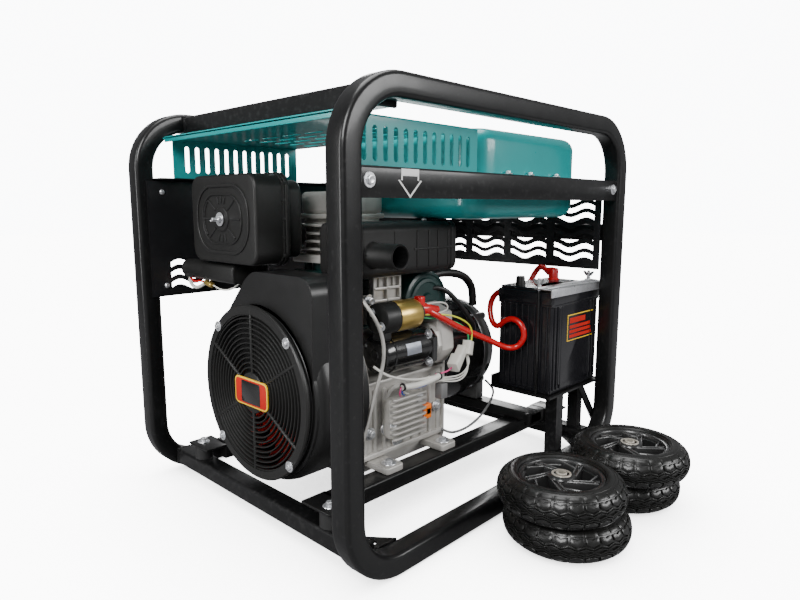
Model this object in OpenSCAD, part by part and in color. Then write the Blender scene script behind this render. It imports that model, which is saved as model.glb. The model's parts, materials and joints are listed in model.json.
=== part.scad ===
// Open-frame engine driven welder and generator.
// X runs along the crankshaft (fan end at -X), Y across the machine, Z up, millimetres.

/* [Frame] */
// Overall length of the tube frame
frame_l = 770; // [720:10:900]
// Overall width of the tube frame
frame_w = 595; // [570:5:700]
// Overall height of the tube frame
frame_h = 690; // [680:10:760]
// Depth of the frame tube, seen from the side
tube_d = 34; // [28:1:38]
// Thickness of the frame tube across the machine
tube_t = 36; // [28:1:40]
// Outer radius of the frame corners
corner_r = 105; // [80:5:130]
// Height of the cross tubes
cross_h = 30; // [24:1:34]
// Height of the tank rails' top
rail_top = 570; // [560:1:580]
// Height of the rail's upright leg
rail_h = 40; // [30:1:50]

/* [Engine] */
// Height of the crankshaft above the floor
crank_z = 216; // [214:1:222]
// Crankshaft radius
shaft_r = 22; // [16:1:26]
// Radial running clearance of the crankshaft
run_gap = 0.05; // [0.02:0.01:0.1]
// Outer radius of the blower housing
blower_r = 156; // [152:1:160]
// Outer radius of the fan grille
grille_r = 146; // [140:1:148]
// Radius of the fan blades
fan_r = 130; // [120:1:134]
// Half width of the crankcase
case_hw = 128; // [120:1:134]

/* [Alternator] */
// Radius of the stator case
stator_r = 110; // [100:1:114]
// Length of the stator case
stator_l = 135; // [120:1:145]

/* [Tank] */
// Length of the fuel tank
tank_l = 340; // [300:5:345]
// Width of the fuel tank
tank_w = 389; // [340:1:394]
// Height of the fuel tank
tank_h = 153; // [140:1:156]

/* [Battery] */
// Length of the battery
battery_l = 192; // [170:1:192]
// Width of the battery
battery_w = 129; // [110:1:130]
// Height of the battery
battery_h = 210; // [180:1:215]

/* [Wheels] */
// Radius of the transport wheels
wheel_r = 100; // [80:1:101]
// Width of the transport wheels
wheel_w = 56; // [45:1:60]
// Axle hole radius
axle_r = 6; // [5:0.5:8]

/* [Hidden] */
$fn = 48;

// frame
fx = frame_l / 2;
fy = frame_w / 2;
in_x = fx - tube_d;
in_y = fy - tube_t;
cross_z = 20;
cross_x = 321;
cross_hx = tube_d / 2;
mid_z = 448;
seat = 0.3;

// engine frame of reference
case_x0 = -210;
case_x1 = 10;
bell_x1 = 30;
stator_x1 = bell_x1 + stator_l;
end_x1 = stator_x1 + 50;
blower_x0 = -322;
blower_x1 = case_x0;
grille_x0 = blower_x0 - 8;
beam_z = 52;
beam_top = 80;
beam_y = case_hw + 32;
foot_y = case_hw + 17;
foot_bolt_y = case_hw + 30;
beam_hw = 20;
wall = 3;

// cylinder
cyl_x = -120;
cyl_y = 10;
head_hx = 70;
head_hy = 68;
case_top = 300;
head_z = 420;
rocker_z = 500;
rocker_top = 545;

// tank
tank_x0 = -35;
tank_y0 = -234;
tank_z0 = 497;
flange = 12;
flange_t = 4;
neck_r = 27;
cap_x = tank_x0 + tank_l / 2;
cap_y = tank_y0 + tank_w / 2;

// filter
filter_y = 75;
filter_z = 498;
filter_w = 200;
filter_h = 146;
filter_x0 = -330;
filter_x1 = -272;
stud_r = 3;

// battery
bat_x0 = 180;
bat_y0 = 5.5 - in_y;
bat_z0 = 150;
bat_x1 = bat_x0 + battery_l;
bat_y1 = bat_y0 + battery_w;
bat_z1 = bat_z0 + battery_h;
rod_r = 3;
rod_off = 4.5;

// panels
sheet = 2;
panel_y0 = in_y - sheet;
panel_z0 = 352;
panel_z1 = 565;
rear_z0 = 388;

// loose wheels: centre x, centre y, layer
WHEELS = [[-24, -409, 0], [-38, -406, 1], [180, -407, 0], [164, -426, 1]];
sleeve_r = 10;

// the row's origin is below the middle of everything, loose wheels included
low_y = min([for (w = WHEELS) w[1]]) - wheel_r;
row_shift = -(low_y + fy) / 2;

// routes
RED_ROUTE = [[-80.6, -147, 343], [-68, -150, 341], [-48, -160, 328], [15, -164, 296], [105, -166, 260],
    [145, -172, 243], [163, -186, 243], [168, -200, 262], [167, -196, 284], [165, -178, 295],
    [166, -156, 290], [168, -138, 274], [169, -122, 284], [173, -113, 312], [192, -111, 336],
    [235, -112, 345], [290, -113, 345], [322, -114, 351], [335, -118, 370], [336, -130, 384],
    [335, -141, 383], [335, -150.6, 377]];
ARCH_ROUTE = [[-8, -52, 300.8], [-2, -52, 340], [20, -54, 370], [60, -56, 384], [110, -58, 384],
    [150, -60, 374], [176, -60, 352], [184, -60, 328], [184, -60, 310.3]];
HOSE_ROUTE = [[-24, -80, 300.4], [-20, -82, 336], [-4, -96, 366], [26, -112, 364], [64, -120, 332],
    [98, -122, 296], [120, -114, 272], [127, -101.6, 263.8]];
THIN_ROUTE = [[206, -81, 144], [208, -100, 132], [190, -116, 122], [140, -130, 100], [80, -138, 86],
    [24, -142, 88], [4, -138, 96], [0, -129.4, 100]];
PIPE_ROUTE = [[-40, case_hw + 11, 262], [-40, case_hw + 11, 300], [-46, 134, 360], [-58, 118, 410], [-60, 100, 427],
    [-60, 78.4, 427]];

module placed() { translate([0, row_shift, 0]) children(); }

// shapes
module box(a, b) { translate(a) cube(b - a); }
module rod_x(x0, x1, y, z, r) { translate([x0, y, z]) rotate([0, 90, 0]) cylinder(h = x1 - x0, r = r); }
module rod_y(y0, y1, x, z, r) { translate([x, y1, z]) rotate([90, 0, 0]) cylinder(h = y1 - y0, r = r); }
module rod_z(z0, z1, x, y, r) { translate([x, y, z0]) cylinder(h = z1 - z0, r = r); }
module slab_x(x0, x1) { translate([x0, 0, 0]) rotate([90, 0, 90]) linear_extrude(x1 - x0) children(); }
module slab_y(y0, y1) { translate([0, y1, 0]) rotate([90, 0, 0]) linear_extrude(y1 - y0) children(); }
module slab_z(z0, z1) { translate([0, 0, z0]) linear_extrude(z1 - z0) children(); }

function arc(cx, cy, r, a0, a1, n) =
    [for (i = [0 : n]) let (a = a0 + (a1 - a0) * i / n) [cx + r * cos(a), cy + r * sin(a)]];
function rounded(x0, x1, y0, y1, r, n = 5) = concat(
    arc(x1 - r, y1 - r, r, 0, 90, n), arc(x0 + r, y1 - r, r, 90, 180, n),
    arc(x0 + r, y0 + r, r, 180, 270, n), arc(x1 - r, y0 + r, r, 270, 360, n));

// a wavy slot, as long as len and as wide as w
function wave_line(len, amp, side, n) =
    [for (i = [0 : n]) let (t = i / n) [len * (t - 0.5), amp * sin(360 * t * 1.25) + side]];
function wave(len, amp, w, n = 12) = concat(wave_line(len, amp, w / 2, n),
    [for (i = [n : -1 : 0]) let (p = wave_line(len, amp, -w / 2, n)[i]) p]);
module wave_rows(cols, rows, len, amp, w) {
    for (c = cols, z = rows) translate([c, z]) polygon(wave(len, amp, w));
}

// round hose along a smooth curve
function blend_at(p, i, t) = let (n = len(p) - 1, a = p[max(i - 1, 0)], b = p[i], c = p[min(i + 1, n)],
    d = p[min(i + 2, n)]) 0.5 * (2 * b + (c - a) * t + (2 * a - 5 * b + 4 * c - d) * t * t
    + (3 * b - a - 3 * c + d) * t * t * t);
function curve(p, n) = concat([for (i = [0 : len(p) - 2], k = [0 : n - 1]) blend_at(p, i, k / n)],
    [p[len(p) - 1]]);
function unit(v) = v / norm(v);
function along(q, i) = unit(q[min(i + 1, len(q) - 1)] - q[max(i - 1, 0)]);
module hose(p, r, n = 2, sides = 10) {
    q = curve(p, n);
    last = len(q) - 1;
    pts = [for (i = [0 : last]) let (t = along(q, i), u = unit(cross(t, [0.36, 0.8, 0.48])), v = cross(t, u))
        for (k = [0 : sides - 1]) q[i] + r * (cos(360 * k / sides) * u + sin(360 * k / sides) * v)];
    polyhedron(pts, concat([[for (k = [sides - 1 : -1 : 0]) last * sides + k], [for (k = [0 : sides - 1]) k]],
        [for (i = [0 : last - 1], k = [0 : sides - 1]) let (a = i * sides + k, b = i * sides + (k + 1) % sides)
            [a, a + sides, b + sides, b]]));
}

// ---- frame ----
module loop_profile() {
    difference() {
        polygon(rounded(-fx, fx, 0, frame_h, corner_r, 16));
        polygon(rounded(-in_x, in_x, tube_d, frame_h - tube_d, corner_r - tube_d, 16));
    }
}
module frame_loop_right() {
    color("#151515") difference() {
        slab_y(-fy, -in_y) loop_profile();
        for (x = kit_holes) rod_z(-1, tube_d + 1, x, -fy + tube_t / 2, kit_hole_r);
    }
}
kit_hole_r = 4.5;
kit_holes = [-236, -214];
module frame_loop_left() { color("#151515") slab_y(in_y, fy) loop_profile(); }
module front_tubes() {
    color("#151515") {
        box([-cross_x - cross_hx, -in_y, cross_z], [-cross_x + cross_hx, in_y, cross_z + cross_h]);
        box([-290, -in_y, frame_h - tube_d - 6], [-256, in_y, frame_h - 6]);
    }
}
module rear_tubes() {
    color("#151515") {
        box([cross_x - cross_hx, -in_y, cross_z], [cross_x + cross_hx, in_y, cross_z + cross_h]);
        box([in_x, -in_y, mid_z], [fx, in_y, mid_z + tube_d]);
    }
}
leg_y = fy - 6.5;
module rail_angle(s) {
    scale([1, s, 1]) union() {
        box([-in_x, leg_y - 3, rail_top - rail_h], [in_x, leg_y, rail_top]);
        box([-in_x, 235, rail_top - 3], [in_x, leg_y, rail_top]);
    }
}
module rail_right() { color("#151515") mirror([0, 1, 0]) rail_angle(1); }
module rail_left() {
    color("#151515") union() {
        rail_angle(1);
        for (x = [10, 240]) box([x, tank_y0 + tank_w + 2, rail_top - 3], [x + 30, 236, rail_top]);
    }
}
module gusset() {
    difference() {
        slab_z(cross_z + 10, cross_z + 14)
            polygon([[cross_x - cross_hx, in_y], [cross_x - cross_hx, in_y - 56], [cross_x - cross_hx - 46, in_y]]);
        rod_z(cross_z, cross_z + 20, cross_x - cross_hx - 13, in_y - 15, 5);
    }
}
module gussets() {
    color("#151515") for (a = [0, 1], b = [0, 1]) mirror([a, 0, 0]) mirror([0, b, 0]) gusset();
}
module engine_beams() {
    color("#1a1a1a") for (s = [0, 1]) mirror([0, s, 0]) union() {
        box([-cross_x + cross_hx + 4, beam_y - beam_hw, beam_z], [cross_x - cross_hx - 4, beam_y + beam_hw, beam_top]);
        for (m = [0, 1]) mirror([m, 0, 0])
            box([cross_x - cross_hx - 10, beam_y - beam_hw, beam_top - 4], [cross_x + cross_hx + 2, beam_y + 45, beam_top]);
    }
    color("#1a1a1a") box([end_x1 - 25, -210, beam_top], [end_x1 + 12, 210, beam_top + 20]);
}
module rubber_mounts() {
    color("#303030") for (sx = [-1, 1], sy = [-1, 1])
        rod_z(cross_z + cross_h, beam_top - 4, sx * cross_x, sy * (beam_y + 25), 16);
}

// ---- tank and top ----
module tank_outline(d) {
    polygon(rounded(tank_x0 - d, tank_x0 + tank_l + d, tank_y0 - d, tank_y0 + tank_w + d, 40 + d, 6));
}
module fuel_tank() {
    color("#109a9a") difference() {
        union() {
            hull() {
                slab_z(tank_z0, tank_z0 + 1) tank_outline(-18);
                slab_z(tank_z0 + 20, rail_top) tank_outline(0);
            }
            slab_z(rail_top, rail_top + flange_t) tank_outline(flange);
            hull() {
                slab_z(rail_top + flange_t, tank_z0 + tank_h - 20) tank_outline(0);
                slab_z(tank_z0 + tank_h - 1, tank_z0 + tank_h) tank_outline(-18);
            }
            rod_z(tank_z0 + tank_h - 1, tank_z0 + tank_h + 15, cap_x, cap_y, neck_r);
        }
        rod_z(tank_z0 + tank_h - 12, tank_z0 + tank_h + 16, cap_x, cap_y, neck_r - 3);
    }
}
module fuel_cap() {
    z0 = tank_z0 + tank_h + 2;
    z1 = tank_z0 + tank_h + 15 + seat;
    color("#111111") difference() {
        rod_z(z0, z1 + 8, cap_x, cap_y, neck_r + 7);
        rod_z(z0 - 1, z1, cap_x, cap_y, neck_r + seat);
        for (a = [0 : 30 : 359]) translate([cap_x, cap_y, 0]) rotate([0, 0, a])
            rod_z(z0 - 1, z1 + 9, neck_r + 8.5, 0, 3);
    }
}
guard_x0 = -325;
guard_x1 = -49;
guard_y = 240;
guard_top = 642;
module top_guard() {
    color("#109a9a") {
        for (s = [0, 1]) mirror([0, s, 0]) difference() {
            box([guard_x0, guard_y - sheet, rail_top], [guard_x1, guard_y, guard_top - sheet]);
            for (i = [0 : 11]) box([-302 + i * 20.4, guard_y - 5, 580], [-293 + i * 20.4, guard_y + 5, 628]);
        }
        difference() {
            box([guard_x0 - 18, -guard_y, guard_top - sheet], [guard_x1, guard_y, guard_top]);
            for (x = [-225 : 34 : -80], y = [-180 : 60 : 130]) box([x, y, 600], [x + 12, y + 46, 660]);
        }
    }
}
cock_x = 10;
cock_y = 120;
module fuel_cock() {
    color("#b8a060") union() {
        rod_z(476, tank_z0, cock_x, cock_y, 7);
        rod_z(456, 477, cock_x, cock_y, 11);
        rod_y(cock_y + 8, cock_y + 16, cock_x, 466, 8);
        rod_y(cock_y + 15, cock_y + 25, cock_x, 466, 3);
    }
}
module fuel_cock_lever() {
    color("#b02020") difference() {
        union() {
            rod_y(cock_y + 16 + seat, cock_y + 22, cock_x, 466, 7);
            box([cock_x - 3.5, cock_y + 17, 432], [cock_x + 3.5, cock_y + 21, 466]);
        }
        rod_y(cock_y + 10, cock_y + 30, cock_x, 466, 3 + run_gap);
    }
}

// ---- engine ----
module case_profile() {
    polygon([[-118, 62], [-case_hw, 92], [-case_hw, 226], [-92, 238], [-92, case_top], [100, case_top],
        [case_hw, 262], [case_hw, 92], [118, 62]]);
}
stick_x = -150;
stick_z = 130;
module crankcase() {
    color("#c4c6c8") difference() {
        union() {
            slab_x(case_x0, case_x1) case_profile();
            rod_x(case_x1 - 1, bell_x1, 0, crank_z, stator_r + 2);
            for (s = [-1, 1], x = [-190, -50]) box([x, s * foot_y - 30, beam_top], [x + 40, s * foot_y + 30, beam_top + 14]);
        }
        box([case_x0 + 20, -86, 90], [case_x1 - 20, 86, case_top - 16]);
        rod_x(case_x0 - 1, case_x1 + 1, 0, crank_z, shaft_r + run_gap);
        rod_x(case_x1, bell_x1 + 1, 0, crank_z, 60);
        rod_y(80, case_hw + 1, stick_x, stick_z, 9 + seat);
    }
}
module cylinder_block() {
    color("#1d4a44") union() {
        rod_z(case_top, head_z, cyl_x, cyl_y, 54);
        for (i = [0 : 6]) box([cyl_x - head_hx, cyl_y - head_hy, case_top + 12 + i * 15],
            [cyl_x + head_hx, cyl_y + head_hy, case_top + 15 + i * 15]);
    }
}
module cylinder_head() {
    color("#b4b6b8") {
        difference() {
            union() {
                box([cyl_x - head_hx, cyl_y - head_hy, head_z], [cyl_x + head_hx, cyl_y + head_hy, head_z + 14]);
                for (i = [0 : 3]) box([cyl_x - head_hx, cyl_y - head_hy, head_z + 22 + i * 14],
                    [cyl_x + head_hx, cyl_y + head_hy, head_z + 26 + i * 14]);
                box([cyl_x - 50, cyl_y - 50, head_z + 13], [cyl_x + 50, cyl_y + 50, rocker_z]);
            }
        }
        slab_z(rocker_z, rocker_top) polygon(rounded(cyl_x - 62, cyl_x + 62, cyl_y - 52, cyl_y + 52, 16));
        rod_z(rocker_top, rocker_top + 12, cyl_x + 35, cyl_y, 5);
    }
}
module decompression_lever() {
    color("#222222") difference() {
        union() {
            rod_z(rocker_top + seat, rocker_top + 9, cyl_x + 35, cyl_y, 10);
            box([cyl_x + 31, cyl_y, rocker_top + 3], [cyl_x + 39, cyl_y + 46, rocker_top + 7]);
        }
        rod_z(rocker_top - 1, rocker_top + 20, cyl_x + 35, cyl_y, 5 + run_gap);
    }
}
module blower_housing() {
    color("#1c1c1d") difference() {
        union() {
            rod_x(blower_x0, blower_x1, 0, crank_z, blower_r);
            slab_x(blower_x0, blower_x1)
                polygon([[-140, crank_z], [-142, 400], [-128, 415], [15, 415], [118, crank_z + 96], [100, crank_z]]);
        }
        box([blower_x1 - 45, -200, muf_z0 - 2], [blower_x1 + 1, 200, 430]);
        rod_x(blower_x0 - 1, blower_x1 - wall, 0, crank_z, fan_r + 6);
        rod_x(blower_x0 + 20, blower_x1 - wall, 0, crank_z, blower_r - 8);
        rod_x(blower_x0, blower_x1 + 1, 0, crank_z, 60);
        box([blower_x0 + 20, -120, crank_z + 100], [blower_x1 + 1, 5, muf_z0 - 12]);
    }
}
module fan_grille() {
    color("#161616") difference() {
        union() {
            for (i = [0 : 11]) difference() {
                r = 42 + i * 8.2;
                rod_x(grille_x0 + 3, grille_x0 + 7, 0, crank_z, r + 1.4);
                rod_x(grille_x0, grille_x0 + 9, 0, crank_z, r - 1.4);
            }
            for (a = [30 : 60 : 359]) translate([0, 0, crank_z]) rotate([a, 0, 0])
                box([grille_x0 + 1, -3, 30], [grille_x0 + 6, 3, grille_r - 8]);
            rod_x(grille_x0, grille_x0 + 6, 0, crank_z, 34);
            difference() {
                rod_x(grille_x0, blower_x0, 0, crank_z, grille_r);
                rod_x(grille_x0 - 1, blower_x0 + 1, 0, crank_z, grille_r - 14);
            }
        }
    }
}
module flywheel_fan() {
    color("#a03024") union() {
        rod_x(-248, case_x0 - 12, 0, crank_z, fan_r - 4);
        rod_x(-304, -247, 0, crank_z, 44);
        for (a = [0 : 18 : 359]) translate([0, 0, crank_z]) rotate([a, 0, 0])
            box([-306, -1.5, 40], [-247, 1.5, fan_r]);
    }
}
module crankshaft() {
    color("#8c8f92") union() {
        rod_x(case_x0 - 12, case_x0 + 75, 0, crank_z, shaft_r);
        rod_x(case_x0 + 60, case_x0 + 78, 0, crank_z, 46);
        rod_x(case_x0 + 77, case_x0 + 113, 0, crank_z + 26, 16);
        rod_x(case_x0 + 112, case_x0 + 130, 0, crank_z, 46);
        rod_x(case_x0 + 125, end_x1 - 8, 0, crank_z, shaft_r);
        rod_x(bell_x1 + 15, stator_x1 - 10, 0, crank_z, 70);
    }
}
module alternator_case() {
    color("#111112") difference() {
        rod_x(bell_x1, stator_x1, 0, crank_z, stator_r);
        rod_x(bell_x1 - 1, stator_x1 + 1, 0, crank_z, 71);
    }
}
module alternator_end_bell() {
    color("#7c7e80") difference() {
        union() {
            rod_x(stator_x1, end_x1, 0, crank_z, stator_r - 3);
            box([end_x1 - 22, -70, beam_top + 20], [end_x1, 70, 140]);
        }
        rod_x(stator_x1 - 1, end_x1 - 15, 0, crank_z, 71);
        rod_x(end_x1 - 16, end_x1 - 6, 0, crank_z, shaft_r + run_gap);
    }
}
start_y = -case_hw - 2;
start_z = 274;
module starter_motor() {
    color("#131313") union() {
        rod_x(-176, -52, start_y, start_z, 35);
        rod_x(-60, -40, start_y, start_z, 20);
        box([-64, start_y + 10, start_z - 32], [-52, -92, start_z + 25]);
        box([-150, start_y - 8, start_z + 30], [-100, start_y + 8, start_z + 36]);
    }
}
sol_y = -142;
sol_z = 337;
module starter_solenoid() {
    color("#c8a848") union() {
        rod_x(-148, -92, sol_y, sol_z, 26);
        rod_x(-92, -82, sol_y, sol_z, 20);
    }
    color("#131313") rod_x(-182, -148, sol_y, sol_z, 27);
}
reg_x = -118;
reg_z = 162;
module regulator() {
    color("#c2c4c6") union() {
        box([reg_x - 42, -case_hw - 22, reg_z - 36], [reg_x + 42, -case_hw - 8, reg_z + 36]);
        for (s = [-1, 1]) box([reg_x - 12 + s * 26, -case_hw - 9, reg_z - 30], [reg_x + 12 + s * 26, -case_hw, reg_z + 30]);
        for (i = [0 : 7]) box([reg_x - 42, -case_hw - 34, reg_z - 36 + i * 10], [reg_x + 42, -case_hw - 21, reg_z - 33 + i * 10]);
    }
}
module regulator_plug() {
    color("#f07818") box([reg_x + 42, -case_hw - 26, reg_z - 20], [reg_x + 62, -case_hw - 10, reg_z + 8]);
}
module dipstick() {
    color("#f0a020") union() {
        rod_y(case_hw + seat, case_hw + 9, stick_x, stick_z, 14);
        rod_y(92, case_hw + 1, stick_x, stick_z, 9);
        rod_y(60, 93, stick_x, stick_z, 3);
        box([stick_x - 11, case_hw + 8, stick_z - 3], [stick_x + 11, case_hw + 15, stick_z + 3]);
    }
}
module injection_pump() {
    color("#9a9c9e") union() {
        box([-60, case_hw, 160], [-20, case_hw + 22, 232]);
        rod_z(231, 262, -40, case_hw + 11, 9);
        rod_y(case_hw + 21, case_hw + 27, -40, 184, 12);
    }
    color("#9a9c9e") hose(PIPE_ROUTE, 3, 3, 8);
}
lever_x = -110;
lever_z = 230;
module speed_lever() {
    color("#d0d2d4") difference() {
        union() {
            rod_y(case_hw + 6 + seat, case_hw + 13, lever_x, lever_z, 9);
            box([lever_x - 4, case_hw + 7, lever_z], [lever_x + 4, case_hw + 11, lever_z + 62]);
            rod_y(case_hw + 7, case_hw + 26, lever_x, lever_z + 62, 6);
        }
        rod_y(case_hw, case_hw + 30, lever_x, lever_z, 4 + run_gap);
    }
}

// ---- muffler and air filter ----
muf_x0 = -235;
muf_x1 = 12;
muf_y0 = -155;
muf_y1 = -62;
muf_z0 = 405;
muf_z1 = 494;
pipe_x = -198;
pipe_z = 443;
pipe_r = 20;
module muffler() {
    color("#202021") difference() {
        union() {
            slab_x(muf_x0, muf_x1) polygon(rounded(muf_y0, muf_y1, muf_z0, muf_z1, 14, 4));
            rod_y(muf_y0 - 57, muf_y0 + 2, pipe_x, pipe_z, pipe_r);
            box([cyl_x - 22, muf_y1 - 1, head_z + 24], [cyl_x + 22, cyl_y - head_hy, head_z + 62]);
        }
        rod_y(muf_y0 - 58, muf_y0 + 30, pipe_x, pipe_z, pipe_r - 3);
    }
}
function filter_outline(d, r) = rounded(filter_y - filter_w / 2 - d, filter_y + filter_w / 2 + d,
    filter_z - filter_h / 2 - d, filter_z + filter_h / 2 + d, r, 6);
module air_filter_base() {
    color("#1d1d1e") union() {
        slab_x(filter_x1, filter_x1 + 8) polygon(filter_outline(3, 24));
        slab_x(filter_x1 + 7, filter_x1 + 42) polygon(filter_outline(-8, 20));
        rod_x(-240, cyl_x - head_hx, 50, 470, 22);
        rod_x(filter_x0 - 16, filter_x1 + 4, filter_y, filter_z, stud_r);
        rod_y(64, 245, -300, 404, 18);
        rod_x(-300, -254, 82, 404, 17);
        rod_z(404, 440, -254, 82, 17);
    }
}
module air_filter_cover() {
    color("#242425") difference() {
        union() {
            slab_x(filter_x0 + 3, filter_x1) polygon(filter_outline(0, 22));
            slab_x(filter_x0, filter_x0 + 4) polygon(filter_outline(-5, 20));
        }
        slab_x(filter_x0 + 4, filter_x1 + 1) polygon(filter_outline(-3, 20));
        rod_x(filter_x0 - 1, filter_x0 + 6, filter_y, filter_z, stud_r + 1);
    }
}
module filter_wing_nut() {
    x = filter_x0 - seat;
    color("#c0c2c4") difference() {
        union() {
            rod_x(x - 6, x, filter_y, filter_z, 8);
            box([x - 12, filter_y - 15, filter_z - 1.5], [x - 3, filter_y + 15, filter_z + 1.5]);
        }
        rod_x(x - 20, x + 1, filter_y, filter_z, stud_r + run_gap);
    }
}

// ---- electrics ----
module conduits() {
    color("#101010") hose(ARCH_ROUTE, 8.5, 3, 10);
    color("#101010") hose(HOSE_ROUTE, 5, 3, 8);
    color("#707070") hose(THIN_ROUTE, 2.5, 3, 8);
}
module red_lead() { color("#d01010") hose(RED_ROUTE, 6, 2, 8); }
module battery_case() {
    color("#101114") union() {
        box([bat_x0 + 3, bat_y0 + 3, bat_z0], [bat_x1 - 3, bat_y1 - 3, bat_z1 - 30]);
        box([bat_x0, bat_y0, bat_z1 - 31], [bat_x1, bat_y1, bat_z1 - 6]);
        box([bat_x0 + 4, bat_y0 + 4, bat_z1 - 7], [bat_x1 - 4, bat_y1 - 4, bat_z1]);
        for (i = [0 : 9]) box([bat_x0 + 12 + i * 17.5, bat_y0, bat_z0 + 6], [bat_x0 + 16 + i * 17.5, bat_y1, bat_z1 - 30]);
    }
}
plus_x = 335;
plus_y = bat_y0 + 91;
module battery_terminals() {
    color("#d01010") rod_z(bat_z1, bat_z1 + 26, plus_x, plus_y, 12);
    color("#101010") rod_z(bat_z1, bat_z1 + 18, bat_x0 + 34, plus_y + 6, 10);
}
clamp_y0 = -in_y - 0.5;
rod_y0 = clamp_y0 + 36;
module battery_clamp() {
    color("#c8cacc") {
        difference() {
            union() {
                box([bat_x0 - 12, clamp_y0 + 2, bat_z1], [bat_x1 + 12, clamp_y0 + 42, bat_z1 + 2.5]);
                box([bat_x0 - 12, clamp_y0 + 2, bat_z1 - 14], [bat_x1 + 12, bat_y0 - seat, bat_z1 + 2.5]);
            }
            for (x = [bat_x0 - rod_off, bat_x1 + rod_off]) rod_z(300, 400, x, rod_y0, rod_r + seat);
        }
        for (x = [bat_x0 - rod_off, bat_x1 + rod_off]) {
            rod_z(bat_z0 - 1, bat_z1 + 22, x, rod_y0, rod_r);
        }
    }
}
tray_t = 4;
module battery_tray() {
    color("#141414") {
        union() {
            box([bat_x0 - 10, 0.5 - in_y, bat_z0 - tray_t - 1], [bat_x1 + 12, bat_y1 + 5, bat_z0 - 1]);
            box([bat_x0 - 10, bat_y1 + 2, bat_z0 - tray_t - 1], [bat_x1 + 12, bat_y1 + 5, bat_z0 + 22]);
            box([bat_x0, bat_y0 + 10, bat_z0 - 2], [bat_x1, bat_y1 - 10, bat_z0]);
            box([198, -in_y, 10], [223, -in_y + 25, bat_z0 - tray_t]);
            box([cross_x - 11, bat_y0 + 10, cross_z + cross_h], [cross_x + 11, bat_y0 + 32, bat_z0 - tray_t]);
            slab_y(-in_y, -in_y + 4) polygon([[284, 149], [304, 149], [372, 64], [360, 52]]);
        }
    }
}

// ---- panels ----
wave_w = 10;
module rear_panel() {
    color("#121212") slab_x(in_x - sheet, in_x) difference() {
        translate([-in_y, rear_z0]) square([in_y + panel_y0, rail_top - 3 - rear_z0]);
        wave_rows([-201, -89, 23, 135], [412, 431, 496, 515, 534], 92, 5.5, wave_w);
        for (y = [-201, -89, 23, 135], z = [450, 470]) translate([y, z + 2]) polygon(wave(92, 5.5, wave_w));
    }
}
module control_panel() {
    color("#121212") slab_y(panel_y0, in_y) difference() {
        translate([-in_x - 17, panel_z0]) square([2 * in_x + 34, panel_z1 - panel_z0]);
        translate([in_x - 0.3, mid_z - 0.3]) square([tube_d, tube_d + 0.6]);
        wave_rows([-290], [372, 391, 410], 80, 5.5, wave_w);
    }
}
key_x = -280;
key_z = 488;
knob_x = -150;
knob_z = 488;
brk_x = -40;
brk_z = 488;
flap_x = [90, 210];
flap_z = 470;
flap_s = 62;
py = in_y;
module panel_fittings() {
    color("#26262a") {
        rod_y(py, py + 10, key_x, key_z, 15);
        rod_y(py, py + 6, knob_x, knob_z, 30);
        rod_y(py + 5, py + 16, knob_x, knob_z, 5);
        box([brk_x - 22, py, brk_z - 36], [brk_x + 22, py + 14, brk_z - 10]);
        box([brk_x - 22, py, brk_z + 10], [brk_x + 22, py + 14, brk_z + 36]);
        for (x = [-210, 20]) box([x - 24, py, 420], [x + 24, py + 8, 468]);
    }
    color("#e8e8ea") rod_y(py, py + 5, -280, 462, 6);
    for (x = flap_x) socket_body(x);
}
module socket_body(x) {
    color("#2458a0") difference() {
        box([x - flap_s / 2, py, flap_z - flap_s / 2], [x + flap_s / 2, py + 14, flap_z + flap_s / 2]);
        rod_y(py + 4, py + 15, x, flap_z - 3, 22);
    }
    color("#2458a0") for (s = [-1, 1]) box([x + s * 26 - 3, py + 13, flap_z + 23], [x + s * 26 + 3, py + 22, flap_z + 31]);
}
module socket_flap(x) {
    color("#3068b8") union() {
        box([x - 29, py + 14 + seat, flap_z - 31], [x + 29, py + 18, flap_z + 21]);
        box([x - 22, py + 14 + seat, flap_z + 20], [x + 22, py + 21, flap_z + 26]);
        rod_x(x - 22.5, x + 22.5, py + 19, flap_z + 27, 4);
    }
}
module socket_flap_1() { socket_flap(flap_x[0]); }
module socket_flap_2() { socket_flap(flap_x[1]); }
module start_key() {
    color("#c8cacc") union() {
        rod_y(py + 10 + seat, py + 14, key_x, key_z, 9);
        box([key_x - 2, py + 13, key_z - 13], [key_x + 2, py + 32, key_z + 13]);
    }
}
module current_knob() {
    color("#1a1a1c") difference() {
        union() {
            rod_y(py + 6 + seat, py + 28, knob_x, knob_z, 19);
            rod_y(py + 6 + seat, py + 12, knob_x, knob_z, 24);
            box([knob_x - 2.5, py + 27, knob_z], [knob_x + 2.5, py + 31, knob_z + 18]);
        }
        rod_y(py, py + 17, knob_x, knob_z, 5 + run_gap);
    }
}
module breaker_toggle() {
    color("#c02020") union() {
        rod_x(brk_x - 16, brk_x + 16, py + 9, brk_z, 9 - seat);
        box([brk_x - 10, py + 12, brk_z - 2], [brk_x + 10, py + 30, brk_z + 4]);
    }
}
weld_x = [-120, -30];
weld_z = 392;
module weld_terminals() {
    color("#c8a040") for (x = weld_x) union() {
        rod_y(py, py + 8, x, weld_z, 20);
        rod_y(py + 7, py + 34, x, weld_z, 6);
    }
}
module hex_y(y0, y1, x, z, r) { translate([x, y1, z]) rotate([90, 0, 0]) cylinder(h = y1 - y0, r = r, $fn = 6); }
module hex_x(x0, x1, y, z, r) { translate([x0, y, z]) rotate([0, 90, 0]) cylinder(h = x1 - x0, r = r, $fn = 6); }
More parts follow.
